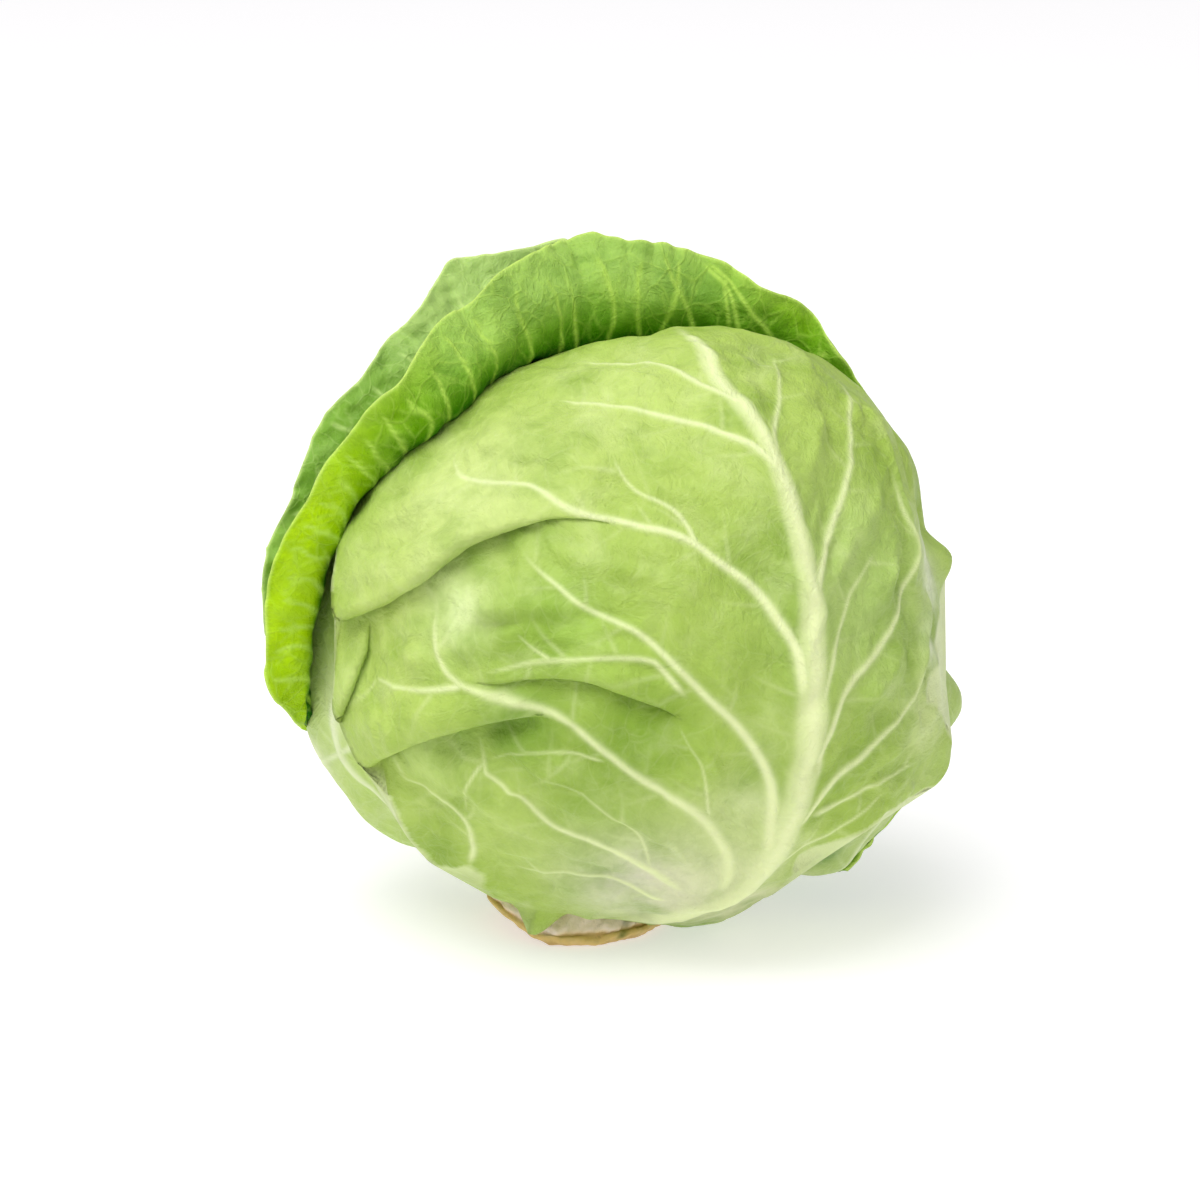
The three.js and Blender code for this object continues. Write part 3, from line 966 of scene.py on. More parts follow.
    def shape(self, directions: Array) -> tuple[Array, dict[str, Array]]:
        """Where the leaf's outer face goes, and its tones.

        Args:
            directions: Unit directions of the leaf's points before it folds.

        Returns:
            The points in millimetres, and the tones by name.
        """
        ball = directions * HEAD.ball
        shift = np.zeros_like(ball)
        height = np.zeros(len(ball))
        calm = np.ones(len(ball))
        for fold in self.folds:
            near = beside(fold.line(), ball, 3 * fold.carry)
            move, rise = fold.bend(near)
            free = calm[near.index]
            shift[near.index] += near.across * (move * free)[:, None]
            height[near.index] += rise * free
            calm[near.index] *= smooth(near.distance, 0.3 * fold.zone, fold.zone)
        for crease in self.creases:
            near = beside(crease.line(), ball, 3 * crease.width)
            height[near.index] += crease.bend(near)
        ridge = np.zeros(len(ball))
        tone = np.zeros(len(ball))
        blade = np.full(len(ball), 30.0)
        mesh = np.full(len(ball), 8.0)
        for vein in self.veins:
            large = vein.height[0] > 0.3
            near = beside(vein.line(), ball, 26 if large else 8)
            rise, light = vein.ridge(near)
            ridge[near.index] = np.maximum(ridge[near.index], rise)
            tone[near.index] = np.maximum(tone[near.index], light)
            mesh[near.index] = np.minimum(mesh[near.index], near.distance)
            if large:
                blade[near.index] = np.minimum(blade[near.index], near.distance)
        pillow = 1 - np.exp(-((blade / 9) ** 2))
        height += self.puff * pillow + 0.1 * self.puff * (1 - np.exp(-((mesh / 2.6) ** 2)))
        for swell in self.swells:
            middle = HEAD.drawn([swell.place])[0] * HEAD.ball
            height += swell.height * np.exp(-((ball - middle) ** 2).sum(1) / swell.spread**2)
        wide, middling, small = (
            Ripple(size, self.seed + turn)(ball) for turn, size in enumerate((34, 14, 6))
        )
        height += self.wave * (wide + 0.45 * middling + 0.16 * small)
        moved = unit(ball + shift)
        if self.lift:
            height += self.lift(moved)
        points = HEAD.place(moved, HEAD.radius(moved) + height + ridge, self.lowest)
        return points, {"vein": tone}

    def build(self) -> bpy.types.Object:
        """Builds the leaf as one closed mesh.

        Returns:
            The leaf's object.
        """
        edge = self.outline()
        lines = [(vein.line(), 1.3 * max(vein.width) + 0.6) for vein in self.veins]
        lines += [(fold.line(), fold.zone + 0.5) for fold in self.folds]
        inner_places, own = self.net(edge, lines)
        places = np.concatenate([edge, inner_places])
        level = np.concatenate([np.full(len(edge), Density.SPARSE.value), own])
        points, tones = self.shape(self.unflatten(places))
        outer = self.triangles(places, len(edge))
        normals = vertex_normals(points, outer)
        fold_near = np.zeros(len(places), bool)
        ball = self.unflatten(places) * HEAD.ball
        for fold in self.folds:
            fold_near[beside(fold.line(), ball, fold.zone + 1).index] = True
        deep = (level >= Density.COARSE.value) | (fold_near & (level >= Density.FINE.value))
        chosen = np.flatnonzero(deep)
        taper = np.where(chosen < len(edge), 0.45, 1.0)[:, None]
        under = points[chosen] - normals[chosen] * self.thickness * taper
        under[:, 2] = np.maximum(under[:, 2], self.lowest + 0.02)
        inner = self.triangles(places[chosen], len(edge))[:, ::-1] + len(points)
        count = len(edge)
        ring = np.arange(count)
        after = (ring + 1) % count
        rim = np.concatenate([
            np.stack([ring, ring + len(points), after], 1),
            np.stack([after, ring + len(points), after + len(points)], 1),
        ])
        # painted highlight along the margin: full strength high on the head, weak low down, none where
        # folds meet the edge
        clear = np.where(fold_near[:count], 0.0, 0.1 + 0.9 * smooth(points[:count, 2], 12, 34))
        tones["edge"] = np.concatenate([clear, np.zeros(len(points) - count)])
        tones["tint"] = zoned(tint(*self.colour), self.zones, self.unflatten(places))
        tones = {name: np.concatenate([values, values[chosen]]) for name, values in tones.items()}
        faces = np.concatenate([outer, inner, rim])
        return make_object(self.name, np.concatenate([points, under]), faces, tones)


# ---- leaves that cup the head


@dataclass(frozen=True)
class Station:
    """A place on a wrapper's rim: where it leaves the head, and how it rolls outward there."""

    clock: float
    tilt: float
    radius: float
    bend: float
    flap: float


@dataclass(frozen=True)
class RollVein:
    """A vein of a wrapper, through places (run, clock): run 0 is the foot, 1 the rim, 2 the free edge."""

    places: tuple[Drawn, ...]
    width: Drawn = (1.0, 0.75)
    height: Drawn = (0.4, 0.15)
    tone: Drawn = (0.95, 0.6)


@dataclass
class WrapperLeaf:
    """A leaf that cups the head from behind and rolls outward at its rim."""

    name: str
    slot: str
    bearings: Drawn
    foot_angle: float
    belly: Drawn
    lowest: float
    rim: tuple[Station, ...]
    lift: Callable[[Array, Array], Array]
    wave: tuple[float, float, float]
    veins: Sequence[RollVein]
    paint: Callable[[Array, Array], Array]
    outline: tuple[Drawn, ...]
    pull: float = 1.2
    columns: int = 360
    thickness: float = 1.0
    seed: int = 1

    def __post_init__(self) -> None:
        """Starts with the flap as the stations give it."""
        self.trim = np.zeros(2)

    def turn_of(self, clock: Array) -> Array:
        """Place along the rim, 0 to 1, of clock angles."""
        clocks = [station.clock for station in self.rim]
        return np.interp(clock, clocks, np.linspace(0, 1, len(clocks)))

    def clock_of(self, turn: Array) -> Array:
        """Clock angles of places along the rim."""
        clocks = [station.clock for station in self.rim]
        return np.interp(turn, np.linspace(0, 1, len(clocks)), clocks)

    def fan_direction(self, run: Array, turn: Array) -> Array:
        """Directions inside the leaf's fan: run 0 is the foot and 1 the rim.

        Args:
            run: How far from the foot to the rim.
            turn: How far along the rim.

        Returns:
            One unit direction for each pair.
        """
        rim = HEAD.round([s.clock for s in self.rim], [s.tilt for s in self.rim])
        return fan_directions(
            self.bearings, self.foot_angle, HEAD.round(*self.belly), self.pull, rim, run, turn
        )

    def fan_point(self, run: Array, turn: Array) -> Array:
        """Points of the outer face between the foot and the rim.

        Args:
            run: Runs from the foot.
            turn: Turns, from 0 to 1.

        Returns:
            The points.
        """
        direction = self.fan_direction(run, turn)
        radius = HEAD.radius(direction) + self.lift(run, turn)
        return HEAD.place(direction, radius, self.lowest)

    def reach(self, turn: Array) -> tuple[Array, Array, Array]:
        """Radius, bend in radians and flap of the roll at places along the rim.

        Args:
            turn: Turns, from 0 to 1.

        Returns:
            The three, for each place.
        """
        radius = along([s.radius for s in self.rim], turn)
        bend = np.radians(along([s.bend for s in self.rim], turn))
        flap = along([s.flap for s in self.rim], turn)
        return radius, bend, flap + np.interp(turn, np.linspace(0, 1, len(self.trim)), self.trim)

    def fit(self) -> None:
        """Trims the flap until the free edge shows at the wanted clock angles and radii."""
        turns = np.linspace(0, 1, 600)
        table = np.array(self.outline)
        self.trim = np.zeros(len(turns))
        for _ in range(8):
            clock, radius = HEAD.seen(self.roll_point(np.ones_like(turns), turns))
            first, last = table[0, 0], table[-1, 0]
            shown = smooth(clock, first - 3, first) * (1 - smooth(clock, last, last + 3))
            gap = (along_table(table, clock) - radius) * shown
            self.trim = self.trim + 0.6 * gap
            self.trim = np.convolve(np.pad(self.trim, 4, mode="edge"), np.full(9, 1 / 9), "valid")

    def roll_point(self, fraction: Array, turn: Array) -> Array:
        """Points of the roll, at fractions of the way from the rim to the free edge.

        Args:
            fraction: The fractions.
            turn: Turns, from 0 to 1.

        Returns:
            The points.
        """
        radius, bend, flap = self.reach(turn)
        rim = self.fan_direction(np.ones_like(turn), turn)
        before = self.fan_direction(np.full_like(turn, 0.97), turn)
        forward = rim - before
        forward = unit(forward - (forward * rim).sum(-1)[..., None] * rim)
        arc = radius * bend
        travelled = (arc + flap) * fraction
        angle = np.minimum(travelled / radius, bend)
        straight = np.maximum(travelled - arc, 0)
        ahead = radius * np.sin(angle) + straight * np.cos(angle)
        away = radius * (1 - np.cos(angle)) + straight * np.sin(angle)
        height, count, phase = self.wave
        crimp = height * np.sin(2 * math.pi * count * turn + phase)
        crimp = crimp * fraction**2 * smooth(flap + arc, 0, 12)
        crimp = crimp + 0.9 * Ripple(16, self.seed)(rim * 80) * fraction * smooth(flap + arc, 0, 12)
        crimp = crimp + 0.75 * Ripple(6, self.seed + 6)(rim * 80) * fraction**3
        ahead = ahead - crimp * np.sin(angle)
        away = away + crimp * np.cos(angle)
        start = self.fan_point(np.ones_like(turn), turn)
        return start + forward * ahead[..., None] + rim * away[..., None]

    def point(self, run: Array, turn: Array) -> Array:
        """Points of the outer face from the foot, run 0, over the rim, run 1, to the edge, run 2.

        Args:
            run: Runs from the foot.
            turn: Turns, from 0 to 1.

        Returns:
            The points.
        """
        body = self.fan_point(np.clip(run, 0, 1), turn)
        roll = self.roll_point(np.clip(run - 1, 0, 1), turn)
        return np.where((run <= 1)[..., None], body, roll)

    def skin(self, runs: Array, turns: Array) -> tuple[Array, Array]:
        """Points of a grid on the leaf and their unit normals, away from the head.

        Args:
            runs: The grid's runs.
            turns: The grid's turns.

        Returns:
            The points and their normals.
        """
        run, turn = np.meshgrid(runs, turns, indexing="ij")
        points = self.point(run, turn)
        step = 0.004
        normal = np.cross(
            self.point(run, np.clip(turn + step, 0, 1)) - self.point(run, np.clip(turn - step, 0, 1)),
            self.point(np.clip(run + step, 0, 2), turn) - self.point(np.clip(run - step, 0, 2), turn),
        )
        return points, unit(normal)

    def tone(self, points: Array) -> tuple[Array, Array]:
        """Height and tone of the veins at points of the leaf.

        Args:
            points: Points of the leaf.

        Returns:
            The heights and tones.
        """
        flat = points.reshape(-1, 3) - HEAD.middle
        ridge = np.zeros(len(flat))
        tone = np.zeros(len(flat))
        for vein in self.veins:
            places = along(np.array(vein.places), np.linspace(0, 1, 10 * len(vein.places)))
            line = self.point(places[:, 0], self.turn_of(places[:, 1])) - HEAD.middle
            near = beside(line, flat, 3 * max(vein.width))
            width = np.interp(near.fraction, (0, 1), vein.width)
            fade = smooth(1 - near.fraction, 0, 0.1)
            shape = np.exp(-((near.distance / width) ** 2)) * fade
            rise = np.interp(near.fraction, (0, 1), vein.height) * shape
            light = np.interp(near.fraction, (0, 1), vein.tone) * shape
            ridge[near.index] = np.maximum(ridge[near.index], rise)
            tone[near.index] = np.maximum(tone[near.index], light)
        return ridge.reshape(points.shape[:-1]), tone.reshape(points.shape[:-1])

    def build(self) -> bpy.types.Object:
        """Builds the wrapper as one closed mesh.

        Returns:
            The leaf's object.
        """
        self.fit()
        turns = np.linspace(0, 1, self.columns + 1)
        outer_runs = np.concatenate([np.linspace(0, 1, 108), np.linspace(1, 2, 32)[1:]])
        inner_runs = np.concatenate([
            np.linspace(0, 0.75, 24), np.linspace(0.75, 1, 26)[1:], np.linspace(1, 2, 54)[1:],
        ])
        parts: list[Array] = []
        tones: dict[str, list[Array]] = {"vein": [], "edge": [], "tint": []}
        for runs, inside in ((outer_runs, False), (inner_runs, True)):
            base, normals = self.skin(runs, turns)
            ridge, tone = self.tone(base)
            swell = 0.6 * Ripple(18, self.seed + 2)(base) + 0.3 * Ripple(6, self.seed + 3)(base)
            push = swell - self.thickness - 0.25 * ridge if inside else swell + ridge
            parts.append((base + normals * push[..., None]).reshape(-1, 3))
            run, turn = np.meshgrid(runs, turns, indexing="ij")
            radius, bend, flap = self.reach(turn)
            to_edge = (2 - np.maximum(run, 1)) * (radius * bend + flap)
            tones["vein"].append(tone.ravel())
            # painted highlight: a light line along the free edge
            tones["edge"].append(np.exp(-((to_edge / 0.6) ** 2)).ravel())
            tones["tint"].append(self.paint(run, self.clock_of(turn)).reshape(-1, 3))
        columns = len(turns)
        outer = self.quads(len(outer_runs), columns)
        shift = len(outer_runs) * columns
        inner = self.quads(len(inner_runs), columns)[:, ::-1] + shift
        sides = self.seam(outer_runs, inner_runs, columns, shift)
        faces = np.concatenate([outer, inner, np.array(sides)])
        joined = {label: np.concatenate(values) for label, values in tones.items()}
        return make_object(self.name, np.concatenate(parts), faces, joined)

    @staticmethod
    def quads(rows: int, columns: int) -> Array:
        """Triangles of a grid of points.

        Args:
            rows: Rows of points.
            columns: Points in a row.

        Returns:
            The triangles.
        """
        corner = (np.arange(rows - 1)[:, None] * columns + np.arange(columns - 1)).ravel()
        a, b, c, d = corner, corner + 1, corner + columns + 1, corner + columns
        return np.concatenate([np.stack([a, b, c], 1), np.stack([a, c, d], 1)])

    @staticmethod
    def seam(outer_runs: Array, inner_runs: Array, columns: int, shift: int) -> list[tuple[int, int, int]]:
        """Triangles that join the two faces all the way round their edge.

        Args:
            outer_runs: Runs of the outer face.
            inner_runs: Runs of the inner face.
            columns: Points in a row.
            shift: Number of the first inner point.

        Returns:
            The triangles.
        """
        last_outer = (len(outer_runs) - 1) * columns
        last_inner = shift + (len(inner_runs) - 1) * columns
        along_rim = np.arange(columns)
        foot = zipper(along_rim[::-1], along_rim, along_rim[::-1] + shift, along_rim)
        rim = zipper(along_rim + last_outer, along_rim, along_rim + last_inner, along_rim)
        outer_rows = np.arange(len(outer_runs)) * columns
        inner_rows = np.arange(len(inner_runs)) * columns + shift
        start = zipper(outer_rows, outer_runs, inner_rows, inner_runs)
        end = zipper(
            (outer_rows + columns - 1)[::-1], -outer_runs[::-1],
            (inner_rows + columns - 1)[::-1], -inner_runs[::-1],
        )
        return foot + rim + start + end


# ---- stem and heart


@dataclass
class CutStem:
    """The cut stem: a flat face, a browned rim and a short cream neck, slanting up on the left."""

    name: str = "cut_stem"
    slot: str = "stem"
    cut_radius: float = 22.3
    rim_radius: float = 24.2
    neck_radius: float = 20.8
    height: float = 17.5
    slant_start: float = -7
    slant: float = 0.42
    sides: int = 150
    scar: tuple[tuple[float, float, float], ...] = (
        (11.5, -21.5, 0.6), (13.2, -19.4, 3.2), (14.5, -17.0, 6.5), (19.5, -12.5, 5.4), (23.0, -8.0, 4.0),
    )

    def profile(self) -> Array:
        """Radius and height of the stem from the middle of the cut up to the neck.

        Returns:
            The radii and heights, evenly spaced.
        """
        knots = np.array([
            (0.4, 0), (self.cut_radius * 0.5, 0), (self.cut_radius * 0.9, 0), (self.cut_radius, 0.15),
            (self.rim_radius - 0.5, 0.7), (self.rim_radius, 1.9), (self.rim_radius - 0.5, 2.9),
            (self.rim_radius - 1.1, 3.4), (self.rim_radius - 0.7, 4.6), (self.neck_radius + 1.2, 7.2),
            (self.neck_radius, 9.5), (self.neck_radius * 0.97, 13.0), (self.neck_radius * 0.8, self.height),
            (0.4, self.height),
        ])
        return evenly(knots, 0.55)

    def build(self) -> bpy.types.Object:
        """Builds the stem as one closed mesh.

        Returns:
            The stem's object.
        """
        profile = self.profile()
        turn = np.linspace(0, 2 * math.pi, self.sides, endpoint=False)
        radius, height = profile[:, :1], profile[:, 1:]
        points = np.stack([
            radius * np.cos(turn), radius * np.sin(turn), height + np.zeros_like(turn),
        ], -1)
        rim = smooth(radius, 12, 22) * (1 - smooth(height, 9, 14))
        uneven = 0.55 * Ripple(11, 31)(points) + 0.2 * Ripple(3.5, 32)(points)
        outward = np.stack([np.cos(turn), np.sin(turn), np.zeros_like(turn)], -1)
        points = points + outward * (uneven * rim - 0.4 * rim)[..., None]
        raised = self.slant * np.maximum(self.slant_start - points[..., 0], 0)
        points[..., 2] += raised * (1 - points[..., 2] / self.height)
        edge_wave = 0.5 * smooth(radius, 19, 23) * (1 + Ripple(8, 34)(points)) * (points[..., 2] < 3)
        points[..., 2] = np.maximum(points[..., 2] + edge_wave * smooth(height, 0.05, 0.8), 0)
        flat = points.reshape(-1, 3)
        near = beside(evenly(np.array(self.scar), 0.5) - HEAD.middle, flat - HEAD.middle, 4)
        scar = np.zeros(len(flat))
        scar[near.index] = np.exp(-((near.distance / 1.0) ** 2))
        flat -= (outward * scar.reshape(points.shape[:-1])[..., None] * 0.7 * rim[..., None]).reshape(-1, 3)
        faces = []
        rows = len(profile)
        for row in range(rows - 1):
            first = row * self.sides + np.arange(self.sides)
            after = row * self.sides + (np.arange(self.sides) + 1) % self.sides
            faces.append(np.stack([first, after, after + self.sides], 1))
            faces.append(np.stack([first, after + self.sides, first + self.sides], 1))
        for row, order in ((0, 1), (rows - 1, -1)):
            ring = row * self.sides + np.arange(self.sides)
            middle = np.stack([np.full(self.sides - 2, ring[0]), ring[2:], ring[1:-1]], 1)
            faces.append(middle[:, ::order])
        return make_object(self.name, flat, np.concatenate(faces), {
            "tint": self.tints(flat, height.repeat(self.sides, 1).ravel(), scar),
            "vein": np.zeros(len(flat)),
            "edge": np.zeros(len(flat)),
        })

    def tints(self, points: Array, height: Array, scar: Array) -> Array:
        """Tints of the stem: browned at the cut's rim, cream above, with a green scar.

        Args:
            points: Points of the stem.
            height: Their heights above the cut.
            scar: How deep each lies in the scar.

        Returns:
            One tint for each point.
        """
        cream, tan, brown = tint(255, 234, 218), tint(222, 190, 118), tint(158, 118, 56)
        patch = Ripple(7, 35)(points)
        ring = smooth(-height + 0.8 * patch, -5.2, -3.0)[:, None]
        line = (np.exp(-(((height - 3.2 - 0.5 * patch) / 0.5) ** 2)) * smooth(patch, -0.6, 0.8))[:, None]
        cut = (1 - smooth(height, 0.0, 0.7 + 0.3 * patch))[:, None]
        colours = cream + (tan - cream) * ring
        colours = colours + (brown - colours) * np.clip(0.65 * line + 0.55 * cut, 0, 1)
        return colours + (tint(104, 118, 44) - colours) * (0.85 * scar)[:, None]


@dataclass
class PackedHeart:
    """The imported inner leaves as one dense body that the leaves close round."""

    name: str = "packed_heart"
    slot: str = "inner_leaf"
    depth: float = 8.5
    hollow: float = 3.5
    hollow_spread: float = 22
    lowest: float = 17.5
    rings: int = 60
    sides: int = 100

    def build(self) -> bpy.types.Object:
        """Builds the heart as one closed mesh, creased along the edges of its leaves.

        Returns:
            The heart's object.
        """
        down = np.linspace(0, math.pi, self.rings + 1)[1:-1]
        turn = np.linspace(0, 2 * math.pi, self.sides, endpoint=False)
        down, turn = np.meshgrid(down, turn, indexing="ij")
        rows = np.stack([np.sin(down) * np.cos(turn), np.sin(down) * np.sin(turn), np.cos(down)], -1)
        directions = np.concatenate([[[0, 0, 1.0]], rows.reshape(-1, 3), [[0, 0, -1.0]]])
        hollow = self.hollow * HEAD.hump(directions, HEAD.towards((0, 0, 0)), self.hollow_spread)
        creases = 0.6 * np.abs(Ripple(34, 41)(directions * HEAD.ball))
        depth = self.depth + hollow + creases + 3.5 * slimmer(directions)
        points = HEAD.place(directions, HEAD.radius(directions) - depth, self.lowest)
        ring = 1 + np.arange(self.sides)
        after = 1 + (np.arange(self.sides) + 1) % self.sides
        faces = [np.stack([np.zeros_like(ring), ring, after], 1)]
        for row in range(self.rings - 2):
            a, b = ring + row * self.sides, after + row * self.sides
            faces.append(np.stack([a, a + self.sides, b + self.sides], 1))
            faces.append(np.stack([a, b + self.sides, b], 1))
        last = (self.rings - 2) * self.sides
        bottom = np.full_like(ring, len(directions) - 1)
        faces.append(np.stack([ring + last, bottom, after + last], 1))
        count = len(points)
        return make_object(self.name, points, np.concatenate(faces), {
            "tint": np.tile(tint(206, 220, 150), (count, 1)),
            "vein": smooth(np.abs(Ripple(26, 42)(directions * HEAD.ball)), 0.12, 0.0),
            "edge": np.zeros(count),
        })


# ---- finishes


class Nodes:
    """A short way to set up and join the nodes of a finish."""

    def __init__(self, name: str) -> None:
        """Starts an empty finish of that name.

        Args:
            name: Name of the finish.
        """
        self.material = bpy.data.materials.new(name)
        self.material.use_nodes = True
        self.tree = self.material.node_tree
        self.tree.nodes.clear()

    def add(self, kind: str, inputs: Optional[dict] = None, **settings: object) -> bpy.types.Node:
        """Adds a node.

        Args:
            kind: The node's type.
            inputs: Values or sockets for its inputs, by name or number.
            settings: The node's own settings.

        Returns:
            The node.
        """
        node = self.tree.nodes.new(kind)
        for key, value in settings.items():
            setattr(node, key, value)
        for key, value in (inputs or {}).items():
            if isinstance(value, bpy.types.NodeSocket):
                self.tree.links.new(value, node.inputs[key])
            else:
                node.inputs[key].default_value = value
        return node

    def sum(
        self, operation: str, first: object, second: object = 0.0, clamp: bool = False
    ) -> bpy.types.NodeSocket:
        """Result of a sum of two values or sockets."""
        node = self.add("ShaderNodeMath", {0: first, 1: second}, operation=operation, use_clamp=clamp)
        return node.outputs[0]

    def blend(self, share: object, first: object, second: object, way: str = "MIX") -> bpy.types.NodeSocket:
        """Colour between two colours, by a share.

        Args:
            share: Share of the second colour.
            first: First colour.
            second: Second colour.
            way: How the two are mixed.

        Returns:
            The mixed colour.
        """
        node = self.add("ShaderNodeMix", data_type="RGBA", blend_type=way)
        for slot, value in ((0, share), (6, first), (7, second)):
            if isinstance(value, bpy.types.NodeSocket):
                self.tree.links.new(value, node.inputs[slot])
            else:
                node.inputs[slot].default_value = value
        return node.outputs[2]

    def spread(
        self, value: object, low: float, high: float, start: float, end: float
    ) -> bpy.types.NodeSocket:
        """A value carried smoothly from one range to another.

        Args:
            value: The value.
            low: Low end of its range.
            high: High end of its range.
            start: Result at the low end.
            end: Result at the high end.

        Returns:
            The carried value.
        """
        node = self.add(
            "ShaderNodeMapRange",
            {"Value": value, "From Min": low, "From Max": high, "To Min": start, "To Max": end},
            interpolation_type="SMOOTHSTEP",
        )
        return node.outputs["Result"]

    def noise(
        self, place: object, scale: float, detail: float = 3.0, rough: float = 0.55
    ) -> bpy.types.NodeSocket:
        """Cloudy noise at a place."""
        inputs = {"Vector": place, "Scale": scale, "Detail": detail, "Roughness": rough}
        return self.add("ShaderNodeTexNoise", inputs).outputs["Fac"]


def rgba(colour: Sequence[float]) -> tuple[float, float, float, float]:
    """A shader colour from a paint chart's values."""
    return (*tint(*colour), 1.0)


@dataclass(frozen=True)
class LeafFinish:
    """Waxy leaf: a mottled blade with pale veins, a fine net between them and a light edge line, a painted
    highlight along the margin.
    """

    name: str
    vein: tuple[float, float, float]
    edge: tuple[float, float, float]
    dark: tuple[float, float, float]
    mottle: float = 0.35
    bloom: float = 0.22
    net: float = 0.14
    net_scale: float = 150.0
    roughness: float = 0.46
    wax: float = 0.0
    shine: float = 0.22
    relief: float = 0.5

    def material(self) -> bpy.types.Material:
        """Makes the finish.

        Returns:
            The material.
        """
        n = Nodes(self.name)
        place = n.add("ShaderNodeTexCoord").outputs["Object"]
        own = n.add("ShaderNodeAttribute", attribute_name="tint").outputs["Color"]
        vein = n.add("ShaderNodeAttribute", attribute_name="vein").outputs["Fac"]
        edge = n.add("ShaderNodeAttribute", attribute_name="edge").outputs["Fac"]
        cloud = n.noise(place, 42.0, 4.0, 0.6)
        grain = n.noise(place, 240.0, 3.0, 0.6)
        bend = n.add("ShaderNodeTexNoise", {"Vector": place, "Scale": 45.0, "Detail": 2.0}).outputs["Color"]
        shift = n.add(
            "ShaderNodeVectorMath", {0: bend, 1: (0.5, 0.5, 0.5)}, operation="SUBTRACT"
        ).outputs[0]
        shift = n.add("ShaderNodeVectorMath", {0: shift, "Scale": 0.016}, operation="SCALE").outputs[0]
        bent = n.add("ShaderNodeVectorMath", {0: place, 1: shift}, operation="ADD").outputs[0]
        coarse = n.add(
            "ShaderNodeTexVoronoi", {"Vector": bent, "Scale": self.net_scale}, feature="DISTANCE_TO_EDGE"
        ).outputs["Distance"]
        fine = n.add(
            "ShaderNodeTexVoronoi", {"Vector": bent, "Scale": 2.6 * self.net_scale},
            feature="DISTANCE_TO_EDGE"
        ).outputs["Distance"]
        vein = n.spread(vein, 0.02, 1.0, 0.0, 1.0)
        net = n.sum(
            "MULTIPLY", n.spread(coarse, 0.0, 0.075, 1.0, 0.0), n.spread(cloud, 0.3, 0.62, 0.25, 1.0)
        )
        small = n.sum("MULTIPLY", n.spread(fine, 0.0, 0.09, 0.45, 0.0), n.spread(grain, 0.3, 0.7, 0.2, 1.0))
        lines = n.sum("MULTIPLY", n.sum("MAXIMUM", net, small), self.net)
        light = n.sum("MAXIMUM", vein, lines, True)
        shade = n.spread(cloud, 0.42, 0.75, 0.0, self.mottle)
        streak = n.add(
            "ShaderNodeMapping", {"Vector": bent, "Rotation": (0.3, 0.5, 0.9), "Scale": (1.0, 0.3, 1.0)}
        )
        bloom = n.spread(n.noise(streak.outputs[0], 75.0, 5.0, 0.6), 0.45, 0.75, 0.0, self.bloom)
        blade = n.blend(shade, own, rgba(self.dark))
        blade = n.blend(bloom, blade, rgba(self.vein))
        blade = n.blend(n.spread(grain, 0.35, 0.75, 0.0, 0.12), blade, rgba(self.dark), "MULTIPLY")
        colour = n.blend(light, blade, rgba(self.vein))
        # painted highlight: the edge colour laid along the margin
        colour = n.blend(n.sum("MULTIPLY", edge, 0.75), colour, rgba(self.edge))
        crumple = n.add(
            "ShaderNodeMapping", {"Vector": bent, "Rotation": (0.3, 0.5, 0.9), "Scale": (1.0, 0.35, 1.0)}
        )
        wrinkle = n.noise(crumple.outputs[0], 210.0, 6.0, 0.62)
        height = n.sum("ADD", n.sum("MULTIPLY", lines, 0.5), wrinkle)
        height = n.sum("ADD", height, n.sum("MULTIPLY", n.noise(place, 900.0, 2.0, 0.6), 0.12))
        bump = n.add(
            "ShaderNodeBump", {"Strength": self.relief, "Distance": 0.0022, "Height": height}
        ).outputs["Normal"]
        rough = n.spread(
            n.noise(place, 70.0, 4.0, 0.6), 0.3, 0.7, self.roughness - 0.07, self.roughness + 0.1
        )
        shader = n.add("ShaderNodeBsdfPrincipled", {
            "Base Color": colour, "Roughness": rough, "Normal": bump, "Sheen Weight": self.wax,
            "Sheen Roughness": 0.5, "Subsurface Weight": 0.12, "Subsurface Scale": 0.003,
            "Subsurface Radius": (0.8, 1.0, 0.3), "Specular IOR Level": self.shine,
        })
        n.add("ShaderNodeOutputMaterial", {"Surface": shader.outputs[0]})
        return n.material


@dataclass(frozen=True)
class StemFinish:
    """Moist cut stem: cream flesh with fibres, browned where the knife went through."""

    name: str = "stem_finish"
    roughness: float = 0.5

    def material(self) -> bpy.types.Material:
        """Makes the finish.

        Returns:
            The material.
        """
        n = Nodes(self.name)
        place = n.add("ShaderNodeTexCoord").outputs["Object"]
        own = n.add("ShaderNodeAttribute", attribute_name="tint").outputs["Color"]
        stretch = n.add("ShaderNodeMapping", {"Vector": place, "Scale": (1.0, 1.0, 0.3)}).outputs[0]
        fibre = n.noise(stretch, 420.0, 4.0, 0.6)
        spots = n.noise(place, 260.0, 4.0, 0.65)
        colour = n.blend(n.spread(fibre, 0.4, 0.75, 0.0, 0.3), own, rgba((172, 158, 96)))
        colour = n.blend(n.spread(spots, 0.6, 0.75, 0.0, 0.45), colour, rgba((140, 112, 60)))
        height = n.sum("ADD", fibre, n.sum("MULTIPLY", spots, 0.8))
        bump = n.add(
            "ShaderNodeBump", {"Strength": 0.5, "Distance": 0.0009, "Height": height}
        ).outputs["Normal"]
        rough = n.spread(spots, 0.3, 0.7, self.roughness - 0.1, self.roughness + 0.12)
        shader = n.add("ShaderNodeBsdfPrincipled", {
            "Base Color": colour, "Roughness": rough, "Normal": bump, "Subsurface Weight": 0.15,
            "Subsurface Scale": 0.003, "Subsurface Radius": (1.0, 0.8, 0.4), "Specular IOR Level": 0.4,
        })
        n.add("ShaderNodeOutputMaterial", {"Surface": shader.outputs[0]})
        return n.material


